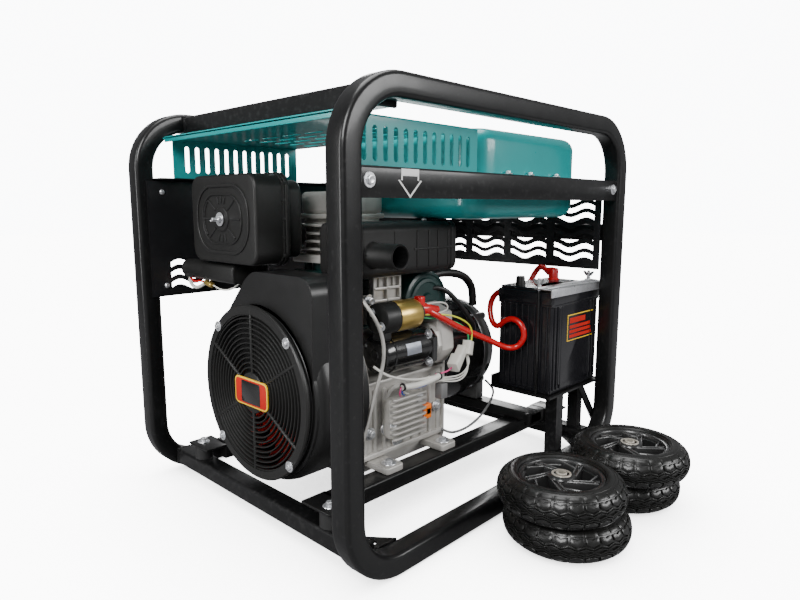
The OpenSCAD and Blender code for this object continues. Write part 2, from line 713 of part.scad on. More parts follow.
module frame_bolts() {
    color("#c8cacc") {
        for (s = [-1, 1], x = [-336, 336]) hex_y(s == 1 ? leg_y : -leg_y - 5, s == 1 ? leg_y + 5 : -leg_y, x, 552, 8);
        for (a = [45 : 90 : 359]) hex_x(grille_x0 - 5, grille_x0, (grille_r - 7) * cos(a), crank_z + (grille_r - 7) * sin(a), 6);
        for (s = [-1, 1], x = [-170, -30]) rod_z(beam_top + 14, beam_top + 20, x, s * foot_bolt_y, 8);
        for (x = [40, 110, 200]) rod_z(rail_top + flange_t, rail_top + flange_t + 5, x, tank_y0 - 6, 5);
        for (x = [-340, 340], z = [panel_z0 + 20, panel_z1 - 20]) rod_y(panel_y0 - 4, panel_y0, x, z, 5);
        rod_y(case_hw, case_hw + 6, lever_x, lever_z, 9);
        rod_y(case_hw + 6, case_hw + 17, lever_x, lever_z, 4);
    }
}

// ---- loose wheels ----
module at_wheel(w) { translate([w[0], w[1], wheel_w / 2 + w[2] * (wheel_w + seat)]) children(); }
module tyre(w) {
    color("#18181a") at_wheel(w) rotate_extrude() polygon(concat([[66, -wheel_w / 2 + 12], [68, -wheel_w / 2 + 6]],
        arc(wheel_r - 16, -wheel_w / 2 + 16, 16, -100, 0, 5), arc(wheel_r - 16, wheel_w / 2 - 16, 16, 0, 100, 5),
        [[68, wheel_w / 2 - 6], [66, wheel_w / 2 - 12]]));
}
module rim(w) {
    color("#101012") at_wheel(w) difference() {
        union() {
            difference() {
                cylinder(h = wheel_w - 24, r = 66, center = true);
                cylinder(h = wheel_w, r = 58, center = true);
            }
            cylinder(h = wheel_w - 8, r = 18, center = true);
            for (a = [0 : 72 : 359]) rotate([0, 0, a]) translate([8, -5, -13]) cube([52, 10, 26]);
        }
        cylinder(h = wheel_w, r = sleeve_r + run_gap, center = true);
    }
}
module wheel_sleeves() {
    color("#a0a2a4") for (w = WHEELS) at_wheel(w) difference() {
        cylinder(h = wheel_w - 4, r = sleeve_r, center = true);
        cylinder(h = wheel_w, r = axle_r, center = true);
    }
}

placed() frame_loop_right();
placed() frame_loop_left();
placed() front_tubes();
placed() rear_tubes();
placed() rail_right();
placed() rail_left();
placed() gussets();
placed() engine_beams();
placed() rubber_mounts();
placed() fuel_tank();
placed() fuel_cap();
placed() top_guard();
placed() fuel_cock();
placed() fuel_cock_lever();
placed() crankcase();
placed() cylinder_block();
placed() cylinder_head();
placed() decompression_lever();
placed() blower_housing();
placed() fan_grille();
placed() flywheel_fan();
placed() crankshaft();
placed() alternator_case();
placed() alternator_end_bell();
placed() starter_motor();
placed() starter_solenoid();
placed() regulator();
placed() regulator_plug();
placed() dipstick();
placed() injection_pump();
placed() speed_lever();
placed() muffler();
placed() air_filter_base();
placed() air_filter_cover();
placed() filter_wing_nut();
placed() conduits();
placed() red_lead();
placed() battery_case();
placed() battery_terminals();
placed() battery_clamp();
placed() battery_tray();
placed() control_panel();
placed() rear_panel();
placed() panel_fittings();
placed() start_key();
placed() current_knob();
placed() breaker_toggle();
placed() socket_flap_1();
placed() socket_flap_2();
placed() weld_terminals();
placed() frame_bolts();
placed() wheel_sleeves();
placed() tyre(WHEELS[0]);  // tyre_1
placed() tyre(WHEELS[1]);  // tyre_2
placed() tyre(WHEELS[2]);  // tyre_3
placed() tyre(WHEELS[3]);  // tyre_4
placed() rim(WHEELS[0]);  // rim_1
placed() rim(WHEELS[1]);  // rim_2
placed() rim(WHEELS[2]);  // rim_3
placed() rim(WHEELS[3]);  // rim_4
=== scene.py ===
import bpy
import bmesh
import json
import math
from mathutils import Matrix, Vector


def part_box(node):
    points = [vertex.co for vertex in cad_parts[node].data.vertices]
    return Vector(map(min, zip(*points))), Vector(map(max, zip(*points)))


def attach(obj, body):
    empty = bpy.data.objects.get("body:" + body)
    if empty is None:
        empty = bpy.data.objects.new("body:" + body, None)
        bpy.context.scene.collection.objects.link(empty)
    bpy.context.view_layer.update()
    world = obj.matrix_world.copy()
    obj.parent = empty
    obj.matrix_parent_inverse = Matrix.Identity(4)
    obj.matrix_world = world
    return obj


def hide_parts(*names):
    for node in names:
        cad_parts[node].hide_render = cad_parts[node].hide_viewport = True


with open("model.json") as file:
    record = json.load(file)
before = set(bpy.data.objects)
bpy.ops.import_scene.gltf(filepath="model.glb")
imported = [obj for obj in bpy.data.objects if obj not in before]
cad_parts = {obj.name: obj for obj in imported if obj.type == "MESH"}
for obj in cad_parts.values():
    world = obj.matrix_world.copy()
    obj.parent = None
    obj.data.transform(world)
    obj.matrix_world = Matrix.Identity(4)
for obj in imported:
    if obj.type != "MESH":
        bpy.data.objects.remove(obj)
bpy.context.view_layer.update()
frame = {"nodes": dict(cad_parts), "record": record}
print("frame loaded")

mm = 0.001
jointAt = {j["name"]: Vector(j["pos_m"]) for j in frame["record"]["behaviour"]["joints"] if "pos_m" in j}
crank = jointAt["engine_spin"]
shaftZ = round(crank.z / mm)


def at(x, y, z):
    # machine millimetres, measured from the crankshaft's line across the machine and from the floor
    return Vector((x * mm, crank.y + y * mm, z * mm))


def onCircle(radius, deg, y=0, z=shaftZ):
    # a point on a circle, by default y and z round the crankshaft
    a = math.radians(deg)
    return y + radius * math.cos(a), z + radius * math.sin(a)


def onShaft(x):
    return at(x, 0, shaftZ)


def boxOf(node):
    lo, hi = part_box(node)
    return Vector(lo), Vector(hi)


# mesh helpers
def facing(direction, origin, roll=0.0):
    # local Z looks along direction, local X is as level as it can be
    z = Vector(direction).normalized()
    x = Vector((0, 0, 1)).cross(z)
    x = x.normalized() if x.length > 1e-6 else Vector((1, 0, 0))
    m = Matrix((x, z.cross(x), z)).transposed().to_4x4()
    return Matrix.Translation(origin) @ m @ Matrix.Rotation(roll, 4, "Z")


def addTo(bm, part, mat=0, matrix=None):
    if matrix is not None:
        bmesh.ops.transform(part, matrix=matrix, verts=part.verts)
    bmesh.ops.recalc_face_normals(part, faces=part.faces)
    for f in part.faces:
        f.material_index = mat
    scrap = bpy.data.meshes.new("scrap")
    part.to_mesh(scrap)
    part.free()
    bm.from_mesh(scrap)
    bpy.data.meshes.remove(scrap)


def pull(bm, face, move):
    # pulls a face along move and leaves a closed solid behind
    new = bmesh.ops.extrude_face_region(bm, geom=[face])["geom"]
    bmesh.ops.translate(bm, vec=move, verts=[v for v in new if isinstance(v, bmesh.types.BMVert)])


def bevelEdges(bm, edges, width, steps):
    if width > 0 and edges:
        bmesh.ops.bevel(bm, geom=edges, offset=width, offset_type="OFFSET", segments=steps, profile=0.5,
                        affect="EDGES", clamp_overlap=True, material=-1)


def block(bm, lo, hi, edge=1.0, mat=0, steps=2):
    # box between two corners in metres, edges rounded by edge mm
    lo, hi = Vector(lo), Vector(hi)
    part = bmesh.new()
    bmesh.ops.create_cube(part, size=1.0)
    size = hi - lo
    bmesh.ops.transform(part, matrix=Matrix.Translation((lo + hi) / 2) @ Matrix.Diagonal((*size, 1)),
                        verts=part.verts)
    bevelEdges(part, part.edges[:], min(edge * mm, min(size) * 0.45), steps)
    addTo(bm, part, mat)


def roundBlock(bm, lo, hi, axis, radius, edge=2.0, mat=0, steps=6, matrix=None):
    # box whose four edges along axis are rounded by radius mm, and its ends by edge mm
    lo, hi = Vector(lo), Vector(hi)
    part = bmesh.new()
    bmesh.ops.create_cube(part, size=1.0)
    size = hi - lo
    bmesh.ops.transform(part, matrix=Matrix.Translation((lo + hi) / 2) @ Matrix.Diagonal((*size, 1)),
                        verts=part.verts)
    along = [e for e in part.edges if abs((e.verts[0].co - e.verts[1].co)[axis]) > size[axis] * 0.5]
    bevelEdges(part, along, radius * mm, steps)
    ends = [e for e in part.edges if abs((e.verts[0].co - e.verts[1].co)[axis]) < 1e-7]
    bevelEdges(part, ends, edge * mm, 3)
    addTo(bm, part, mat, matrix)


def lathe(bm, profile, origin, direction, mat=0, steps=48, roll=0.0):
    # profile is a list of (radius, distance along direction) in mm
    part = bmesh.new()
    verts = [part.verts.new((r * mm, 0, t * mm)) for r, t in profile]
    edges = [part.edges.new(pair) for pair in zip(verts, verts[1:])]
    bmesh.ops.spin(part, geom=verts + edges, cent=(0, 0, 0), axis=(0, 0, 1), angle=2 * math.pi, steps=steps,
                   use_merge=True)
    bmesh.ops.remove_doubles(part, verts=part.verts, dist=1e-6)
    addTo(bm, part, mat, facing(direction, origin, roll))


def rod(bm, start, end, radius, mat=0, edge=0.6, steps=32):
    # round bar from start to end, radius in mm
    start, end = Vector(start), Vector(end)
    length = (end - start).length / mm
    e = min(edge, radius * 0.4, length * 0.4)
    lathe(bm, [(0, 0), (radius - e, 0), (radius - e * 0.3, e * 0.3), (radius, e), (radius, length - e),
               (radius - e * 0.3, length - e * 0.3), (radius - e, length), (0, length)],
          start, end - start, mat, steps)


def ring(bm, origin, direction, inner, outer, length, mat=0, edge=0.6, steps=48):
    lathe(bm, [(inner, 0), (outer - edge, 0), (outer, edge), (outer, length - edge), (outer - edge, length),
               (inner, length), (inner, 0)], origin, direction, mat, steps)


def hexHead(bm, origin, direction, across=10, height=6, mat=0, washer=True, roll=0.0):
    # washer, hexagon head with a turned crown, and a dimple
    if washer:
        lathe(bm, [(0, 0), (across * 0.95, 0), (across, 0.5), (across * 0.95, 1.4), (0, 1.4)], origin,
              direction, mat, 28)
    part = bmesh.new()
    bmesh.ops.create_cone(part, cap_ends=True, segments=6, radius1=across * 0.58 * mm,
                          radius2=across * 0.58 * mm, depth=height * mm)
    bmesh.ops.translate(part, vec=(0, 0, (height / 2 + (1.2 if washer else 0)) * mm), verts=part.verts)
    bevelEdges(part, [e for e in part.edges if e.calc_face_angle(0) > 0.5], 0.5 * mm, 2)
    addTo(bm, part, mat, facing(direction, origin, roll))
    top = Vector(origin) + Vector(direction).normalized() * (height + (1.2 if washer else 0)) * mm
    lathe(bm, [(0, 0), (across * 0.42, 0), (across * 0.36, 0.5), (across * 0.2, 0.2), (0, 0.1)], top,
          direction, mat, 20)


def prism(bm, outline, start, direction, depth, edge=0.5, mat=0, steps=2):
    # outline in mm, laid in the plane across direction, then given depth mm
    part = bmesh.new()
    face = part.faces.new([part.verts.new((x * mm, y * mm, 0)) for x, y in outline])
    pull(part, face, (0, 0, depth * mm))
    rims = [e for e in part.edges if abs(e.verts[0].co.z - e.verts[1].co.z) < 1e-7]
    bevelEdges(part, rims, edge * mm, steps)
    addTo(bm, part, mat, facing(direction, start))


def sheetCut(bm, outline, cuts, lo, axis, thickness, mat=0):
    # flat sheet with holes: the outline and the cut outlines are filled together, then given thickness
    part = bmesh.new()
    loops = []
    for pts in [outline] + cuts:
        verts = [part.verts.new((x * mm, y * mm, 0)) for x, y in pts]
        loops += [part.edges.new((verts[i], verts[(i + 1) % len(verts)])) for i in range(len(verts))]
    bmesh.ops.triangle_fill(part, use_beauty=True, use_dissolve=False, edges=loops)
    bmesh.ops.recalc_face_normals(part, faces=part.faces)
    bmesh.ops.solidify(part, geom=part.faces[:], thickness=thickness * mm)
    turn = {"x": Matrix(((0, 0, 1, 0), (1, 0, 0, 0), (0, 1, 0, 0), (0, 0, 0, 1))),
            "y": Matrix(((1, 0, 0, 0), (0, 0, -1, 0), (0, 1, 0, 0), (0, 0, 0, 1))),
            "z": Matrix.Identity(4)}[axis]
    addTo(bm, part, mat, Matrix.Translation(lo) @ turn)


def arcPoints(cx, cy, r, a0, a1, n):
    return [(cx + r * math.cos(math.radians(a0 + (a1 - a0) * i / n)),
             cy + r * math.sin(math.radians(a0 + (a1 - a0) * i / n))) for i in range(n + 1)]


def slotOutline(cx, cy, width, height, n=5):
    # upright slot with round ends
    r = width / 2
    reach = height / 2 - r
    return arcPoints(cx, cy + reach, r, 0, 180, n) + arcPoints(cx, cy - reach, r, 180, 360, n)


def roundedOutline(x0, x1, y0, y1, r, n=6):
    return (arcPoints(x1 - r, y1 - r, r, 0, 90, n) + arcPoints(x0 + r, y1 - r, r, 90, 180, n)
            + arcPoints(x0 + r, y0 + r, r, 180, 270, n) + arcPoints(x1 - r, y0 + r, r, 270, 360, n))


def finishPiece(name, bm, mats, body, nodes=(), angle=32):
    # smooth faces, sharp edges where the surface turns by more than angle
    limit = math.radians(angle)
    for f in bm.faces:
        f.smooth = True
    for e in bm.edges:
        if len(e.link_faces) == 2 and e.calc_face_angle(0) > limit:
            e.smooth = False
    mesh = bpy.data.meshes.new(name)
    bm.to_mesh(mesh)
    bm.free()
    piece = bpy.data.objects.new(name, mesh)
    bpy.context.scene.collection.objects.link(piece)
    for m in mats:
        mesh.materials.append(m)
    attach(piece, body)
    if nodes:
        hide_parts(*nodes)
    return piece


def tube(name, points, radius, mat, body="machine", nodes=(), sides=4):
    # flexible wire or hose along listed points in machine mm, made a mesh
    curve = bpy.data.curves.new(name, "CURVE")
    curve.dimensions = "3D"
    curve.bevel_depth = radius * mm
    curve.bevel_resolution = sides
    curve.use_fill_caps = True
    line = curve.splines.new("NURBS")
    line.points.add(len(points) - 1)
    for point, place in zip(line.points, points):
        point.co = (*at(*place), 1)
    line.order_u = 3
    line.use_endpoint_u = True
    line.resolution_u = 6
    temp = bpy.data.objects.new(name + "_line", curve)
    bpy.context.scene.collection.objects.link(temp)
    mesh = bpy.data.meshes.new_from_object(temp.evaluated_get(bpy.context.evaluated_depsgraph_get()))
    bpy.data.objects.remove(temp)
    bm = bmesh.new()
    bm.from_mesh(mesh)
    bpy.data.meshes.remove(mesh)
    return finishPiece(name, bm, [mat], body, nodes, 60)


# finishes
def finish(name, color, rough, metal=0.0, coat=0.0, coatRough=0.1, vary=0.12, varyScale=9.0, roughVary=0.08,
           bump=0.15, bumpScale=500.0, bumpDepth=0.0002, specular=0.5, wearAndSheen=0.0, wearAndSheenColor=(0.4, 0.4, 0.4)):
    mat = bpy.data.materials.new(name)
    mat.use_nodes = True
    nodes, links = mat.node_tree.nodes, mat.node_tree.links
    shader = nodes["Principled BSDF"]
    shader.inputs["Metallic"].default_value = metal
    shader.inputs["Specular IOR Level"].default_value = specular
    shader.inputs["Coat Weight"].default_value = coat
    shader.inputs["Coat Roughness"].default_value = coatRough
    coords = nodes.new("ShaderNodeTexCoord")

    def noise(scale, detail=3.0):
        n = nodes.new("ShaderNodeTexNoise")
        n.inputs["Scale"].default_value = scale
        n.inputs["Detail"].default_value = detail
        links.new(coords.outputs["Object"], n.inputs["Vector"])
        return n

    blotch = noise(varyScale)
    ramp = nodes.new("ShaderNodeValToRGB")
    ramp.color_ramp.elements[0].position = 0.3
    ramp.color_ramp.elements[1].position = 0.7
    ramp.color_ramp.elements[0].color = (*[c * (1 - vary) for c in color], 1)
    ramp.color_ramp.elements[1].color = (*[min(1.0, c * (1 + vary) + vary * 0.004) for c in color], 1)
    links.new(blotch.outputs["Fac"], ramp.inputs["Fac"])
    colorOut = ramp.outputs["Color"]
    if wearAndSheen > 0:
        # edges lightened by pointiness and broken up by scratch noise: partly edge wear, partly a painted
        # highlight along the edges
        geometry = nodes.new("ShaderNodeNewGeometry")
        scratch = noise(120.0, 6.0)
        edgeSum = nodes.new("ShaderNodeMath")
        edgeSum.operation = "MULTIPLY"
        links.new(geometry.outputs["Pointiness"], edgeSum.inputs[0])
        links.new(scratch.outputs["Fac"], edgeSum.inputs[1])
        edgeRamp = nodes.new("ShaderNodeMapRange")
        edgeRamp.inputs["From Min"].default_value = 0.31
        edgeRamp.inputs["From Max"].default_value = 0.4
        edgeRamp.inputs["To Max"].default_value = wearAndSheen
        links.new(edgeSum.outputs[0], edgeRamp.inputs["Value"])
        mix = nodes.new("ShaderNodeMix")
        mix.data_type = "RGBA"
        links.new(edgeRamp.outputs["Result"], mix.inputs["Factor"])
        links.new(colorOut, mix.inputs[6])
        mix.inputs[7].default_value = (*wearAndSheenColor, 1)
        colorOut = mix.outputs[2]
    links.new(colorOut, shader.inputs["Base Color"])
    smudge = noise(varyScale * 5, 5.0)
    span = nodes.new("ShaderNodeMapRange")
    span.inputs["To Min"].default_value = max(0.02, rough - roughVary)
    span.inputs["To Max"].default_value = min(1.0, rough + roughVary)
    links.new(smudge.outputs["Fac"], span.inputs["Value"])
    links.new(span.outputs["Result"], shader.inputs["Roughness"])
    grain = noise(bumpScale, 2.0)
    relief = nodes.new("ShaderNodeBump")
    relief.inputs["Strength"].default_value = bump
    relief.inputs["Distance"].default_value = bumpDepth
    links.new(grain.outputs["Fac"], relief.inputs["Height"])
    links.new(relief.outputs["Normal"], shader.inputs["Normal"])
    return mat


# the frame's black coat is lighter on its edges: partly wear, partly a painted highlight
coatBlack = finish("powderCoatBlack", (0.004, 0.004, 0.0042), 0.34, coat=0.22, coatRough=0.12,
                   specular=0.3, bump=0.1, bumpScale=420, bumpDepth=0.00025, wearAndSheen=0.25,
                   wearAndSheenColor=(0.05, 0.05, 0.05))
beamBlack = finish("beamBlack", (0.005, 0.005, 0.005), 0.38, coat=0.15, coatRough=0.2, specular=0.3,
                   bump=0.2)
turquoise = finish("turquoiseEnamel", (0.0, 0.3, 0.3), 0.3, coat=0.35, coatRough=0.06, vary=0.06, bump=0.06,
                   bumpScale=260, roughVary=0.05)
darkGreen = finish("greenEnginePaint", (0.001, 0.026, 0.023), 0.42, coat=0.15, bump=0.3, bumpScale=300)
housingBlack = finish("housingSatinBlack", (0.009, 0.009, 0.009), 0.36, coat=0.1, specular=0.35,
                      coatRough=0.3, bump=0.14, bumpScale=700, vary=0.2)
plasticBlack = finish("mouldedBlack", (0.011, 0.011, 0.0105), 0.42, specular=0.35, bump=0.25,
                      bumpScale=1100, vary=0.15)
# near-black for vents, slots, the outlet pipe's inside and socket holes: painted shade in openings
paintedHoleShade = finish("paintedHoleShade", (0.003, 0.003, 0.003), 0.75, bump=0.2)
mufflerBlack = finish("heatProofBlack", (0.009, 0.0088, 0.0085), 0.48, specular=0.35, bump=0.3,
                      bumpScale=650, vary=0.25)
glossBlack = finish("glossBlackEnamel", (0.005, 0.005, 0.005), 0.2, coat=0.6, coatRough=0.08, bump=0.1,
                    bumpScale=350)
castAlloy = finish("castAluminium", (0.5, 0.485, 0.455), 0.42, metal=0.35, vary=0.16, varyScale=26,
                   bump=0.55, bumpScale=650, bumpDepth=0.0004, roughVary=0.12)
bellGrey = finish("endBellAlloy", (0.2, 0.2, 0.2), 0.4, metal=0.8, vary=0.15, bump=0.45, bumpScale=520)
zinc = finish("zincPlate", (0.7, 0.71, 0.73), 0.3, metal=0.8, vary=0.12, varyScale=60, bump=0.12)
steel = finish("turnedSteel", (0.5, 0.5, 0.5), 0.28, metal=1.0, vary=0.1, bump=0.15)
bearingSteel = finish("bearingSteel", (0.66, 0.62, 0.54), 0.34, metal=0.7, vary=0.1, varyScale=80,
                      bump=0.12)
brass = finish("yellowZinc", (0.6, 0.42, 0.12), 0.3, metal=0.8, vary=0.07, varyScale=18, roughVary=0.05,
               bump=0.08)
fanRed = finish("fanRed", (0.62, 0.05, 0.025), 0.38, bump=0.2, bumpScale=700)
leadRed = finish("redSheath", (0.58, 0.006, 0.008), 0.26, coat=0.3, bump=0.12, bumpScale=500, vary=0.1)
capRed = finish("redCap", (0.55, 0.01, 0.01), 0.32, bump=0.15)
orange = finish("orangeNylon", (0.93, 0.19, 0.008), 0.34, bump=0.15, vary=0.08)
whiteNylon = finish("whiteNylon", (0.68, 0.66, 0.6), 0.4, bump=0.15, vary=0.08)
rubberBlack = finish("mountRubber", (0.012, 0.012, 0.012), 0.65, bump=0.3)
hoseBlack = finish("hoseBlack", (0.007, 0.007, 0.007), 0.4, bump=0.2)
tyreRubber = finish("tyreRubber", (0.0055, 0.0055, 0.005), 0.32, vary=0.25, varyScale=30, bump=0.3,
                    bumpScale=900, roughVary=0.12)
rimGloss = finish("rimGlossNylon", (0.016, 0.016, 0.016), 0.3, coat=0.35, bump=0.1, bumpScale=300)
# lighter copy of the rim nylon for the blade edge ridges: a painted highlight
rimEdgeHighlight = finish("rimEdgeNylon", (0.06, 0.06, 0.06), 0.24, coat=0.6, bump=0.06, bumpScale=300)
batteryBlack = finish("batteryCase", (0.008, 0.008, 0.01), 0.22, coat=0.25, bump=0.12, bumpScale=600)
labelYellow = finish("labelYellow", (0.9, 0.55, 0.02), 0.4, bump=0.05)
labelRed = finish("labelRed", (0.5, 0.01, 0.003), 0.5, bump=0.05, specular=0.25)
labelWhite = finish("labelWhite", (0.75, 0.75, 0.73), 0.35, bump=0.05)
labelSilver = finish("labelSilver", (0.6, 0.63, 0.7), 0.3, metal=0.6, bump=0.05)
wireWhite = finish("wireWhite", (0.66, 0.65, 0.6), 0.4, bump=0.1)
wireGreen = finish("wireGreen", (0.02, 0.35, 0.12), 0.35, bump=0.1)
wireYellow = finish("wireYellow", (0.72, 0.75, 0.06), 0.35, bump=0.1)
wireBlue = finish("wireBlue", (0.02, 0.08, 0.5), 0.35, bump=0.1)
wirePink = finish("wirePink", (0.65, 0.05, 0.2), 0.35, bump=0.1)
wireGrey = finish("wireGrey", (0.16, 0.16, 0.16), 0.4, bump=0.1)
panelBlack = finish("panelBlack", (0.007, 0.007, 0.008), 0.36, coat=0.25, coatRough=0.25, bump=0.15)
panelPlastic = finish("fittingPlastic", (0.03, 0.03, 0.033), 0.35, bump=0.15)
socketBlue = finish("socketBlue", (0.015, 0.09, 0.36), 0.32, bump=0.12)
glassPale = finish("meterGlass", (0.7, 0.72, 0.7), 0.08, coat=1.0, coatRough=0.02, bump=0.01)
lampGreen = finish("lampGreen", (0.02, 0.5, 0.08), 0.2, coat=0.8, bump=0.02)
print("finishes ready")

# camera, floor and light
cameraSet = {"place": (-874.4, -859.8, 520.1), "turn": -46.19, "pitch": 81.39, "lens": 28.0}
cameraData = bpy.data.cameras.new("photoCamera")
cameraData.lens = cameraSet["lens"]
cameraData.sensor_width = 36
cameraData.clip_start = 0.01
camera = bpy.data.objects.new("photoCamera", cameraData)
camera.location = at(*cameraSet["place"])
camera.rotation_euler = (math.radians(cameraSet["pitch"]), 0, math.radians(cameraSet["turn"]))
bpy.context.scene.collection.objects.link(camera)
bpy.context.scene.camera = camera

floorSet = {"half": 12.0, "color": (0.2, 0.2, 0.205), "reach": 0.32, "shade": 1.1, "glow": 11.0}
floorBm = bmesh.new()
bmesh.ops.create_grid(floorBm, x_segments=2, y_segments=2, size=floorSet["half"])
floorMesh = bpy.data.meshes.new("floor")
floorBm.to_mesh(floorMesh)
floorBm.free()
floor = bpy.data.objects.new("floor", floorMesh)
floor.location = (0, 0, -0.0005)
floorLook = finish("paleFloor", floorSet["color"], 0.6, bump=0.02, vary=0.01)
floorNodes, floorLinks = floorLook.node_tree.nodes, floorLook.node_tree.links
# camera rays see the floor glow evenly, and ambient occlusion dims that glow near the machine: a painted
# contact shadow
floorPath = floorNodes.new("ShaderNodeLightPath")
floorPaintedShadow = floorNodes.new("ShaderNodeAmbientOcclusion")
floorPaintedShadow.samples = 8
floorPaintedShadow.inputs["Distance"].default_value = floorSet["reach"]
floorShadowedGlow = floorNodes.new("ShaderNodeMapRange")
floorShadowedGlow.inputs["To Min"].default_value = floorSet["shade"]
floorShadowedGlow.inputs["To Max"].default_value = floorSet["glow"]
floorGlow = floorNodes.new("ShaderNodeEmission")
floorMix = floorNodes.new("ShaderNodeMixShader")
floorLinks.new(floorPaintedShadow.outputs["AO"], floorShadowedGlow.inputs["Value"])
floorLinks.new(floorShadowedGlow.outputs["Result"], floorGlow.inputs["Strength"])
floorLinks.new(floorPath.outputs["Is Camera Ray"], floorMix.inputs[0])
floorLinks.new(floorNodes["Principled BSDF"].outputs[0], floorMix.inputs[1])
floorLinks.new(floorGlow.outputs[0], floorMix.inputs[2])
floorLinks.new(floorMix.outputs[0], floorNodes["Material Output"].inputs["Surface"])
floorMesh.materials.append(floorLook)
bpy.context.scene.collection.objects.link(floor)

world = bpy.data.worlds.new("studio")
bpy.context.scene.world = world
world.use_nodes = True
worldNodes, worldLinks = world.node_tree.nodes, world.node_tree.links
worldPath = worldNodes.new("ShaderNodeLightPath")
worldLevel = worldNodes.new("ShaderNodeMapRange")
worldLevel.inputs["To Min"].default_value = 0.26
worldLevel.inputs["To Max"].default_value = floorSet["glow"]
worldLinks.new(worldPath.outputs["Is Camera Ray"], worldLevel.inputs["Value"])
worldLinks.new(worldLevel.outputs["Result"], worldNodes["Background"].inputs["Strength"])
worldNodes["Background"].inputs["Color"].default_value = (0.97, 0.98, 1.0, 1)
lampSet = [
    {"name": "keySoft", "at": (-2.6, -1.4, 2.2), "size": (1.2, 1.6), "power": 120},
    {"name": "rightSoft", "at": (1.4, -3.0, 1.6), "size": (2.2, 1.0), "power": 90},
    {"name": "leftStrip", "at": (-3.2, 1.2, 1.0), "size": (0.5, 2.4), "power": 60},
    {"name": "topSoft", "at": (0.2, 0.2, 3.4), "size": (2.4, 2.4), "power": 110},
    {"name": "backRim", "at": (2.6, 2.2, 1.6), "size": (1.6, 1.6), "power": 70},
]
for lamp in lampSet:
    data = bpy.data.lights.new(lamp["name"], "AREA")
    data.shape = "RECTANGLE"
    data.size, data.size_y = lamp["size"]
    data.energy = lamp["power"]
    light = bpy.data.objects.new(lamp["name"], data)
    light.location = lamp["at"]
    aim = Vector((0, 0, 0.35)) - Vector(lamp["at"])
    light.rotation_euler = aim.to_track_quat("-Z", "Y").to_euler()
    bpy.context.scene.collection.objects.link(light)
print("stage set")


# frame
loopSet = {"depth": 34.0, "bend": 105.0, "tubeRadius": 7.0, "cornerSteps": 14}


def frameLoop(name):
    # one bent tube: a rounded section is pulled along the straights and spun round the corners
    lo, hi = boxOf(name)
    depth, outer = loopSet["depth"], loopSet["bend"]
    bm = bmesh.new()
    corners = [bm.verts.new((lo.x + outer * mm, y, lo.z + z)) for y, z in
               ((lo.y, 0), (hi.y, 0), (hi.y, depth * mm), (lo.y, depth * mm))]
    face = bm.faces.new(corners)
    bmesh.ops.bevel(bm, geom=corners, offset=loopSet["tubeRadius"] * mm, offset_type="OFFSET", segments=4,
                    profile=0.5, affect="VERTICES", material=-1)
    bmesh.ops.delete(bm, geom=bm.faces[:], context="FACES_ONLY")
    edges = bm.edges[:]
    run = ((hi.x - lo.x) - 2 * outer * mm, (hi.z - lo.z) - 2 * outer * mm)
    steps = [(Vector((run[0], 0, 0)), Vector((hi.x - outer * mm, 0, lo.z + outer * mm))),
             (Vector((0, 0, run[1])), Vector((hi.x - outer * mm, 0, hi.z - outer * mm))),
             (Vector((-run[0], 0, 0)), Vector((lo.x + outer * mm, 0, hi.z - outer * mm))),
             (Vector((0, 0, -run[1])), Vector((lo.x + outer * mm, 0, lo.z + outer * mm)))]
    for move, centre in steps:
        new = bmesh.ops.extrude_edge_only(bm, edges=edges)["geom"]
        verts = [g for g in new if isinstance(g, bmesh.types.BMVert)]
        edges = [g for g in new if isinstance(g, bmesh.types.BMEdge) and all(v in verts for v in g.verts)]
        bmesh.ops.translate(bm, vec=move, verts=verts)
        last = bmesh.ops.spin(bm, geom=verts + edges, cent=centre, axis=(0, -1, 0), angle=math.pi / 2,
                              steps=loopSet["cornerSteps"])["geom_last"]
        edges = [g for g in last if isinstance(g, bmesh.types.BMEdge)]
    bmesh.ops.remove_doubles(bm, verts=bm.verts, dist=1e-5)
    bmesh.ops.recalc_face_normals(bm, faces=bm.faces)
    return bm


def squareTube(bm, lo, hi, radius=6.0, mat=0):
    size = Vector(hi) - Vector(lo)
    axis = max(range(3), key=lambda i: size[i])
    roundBlock(bm, lo, hi, axis, radius, 0.0, mat, 4)


for side in ("Right", "Left"):
    node = "frame_loop_" + side.lower()
    finishPiece("frameLoop" + side, frameLoop(node), [coatBlack], "machine", (node,))

# cross tubes: bottom, top, front face and rear face of each, with the half width between the loops
crossSet = {"halfWidth": 261.5, "frontTop": (650, 684, -290, -256), "frontLow": (20, 50, -338, -304),
            "rearLow": (20, 50, 304, 338), "rearMid": (448, 482, 351, 385)}
bm = bmesh.new()
for z0, z1, x0, x1 in (crossSet["frontTop"], crossSet["frontLow"]):
    squareTube(bm, at(x0, -crossSet["halfWidth"], z0), at(x1, crossSet["halfWidth"], z1), 5)
for s in (-1, 1):
    for z0, z1, x0, x1 in (crossSet["frontTop"], crossSet["frontLow"]):
        block(bm, at(x0 - 1.5, s * 258 - 3.4, z0 - 1), at(x1 + 1.5, s * 258 + 3.4, z1 + 1), 2.6)
finishPiece("frontCrossTubes", bm, [coatBlack], "machine", ("front_tubes",))
bm = bmesh.new()
for z0, z1, x0, x1 in (crossSet["rearLow"], crossSet["rearMid"]):
    squareTube(bm, at(x0, -crossSet["halfWidth"], z0), at(x1, crossSet["halfWidth"], z1), 5)
finishPiece("rearCrossTubes", bm, [coatBlack], "machine", ("rear_tubes",))

railSet = {"x": 351, "outer": 291, "inner": 235, "top": 570, "low": 530, "sheet": 3}


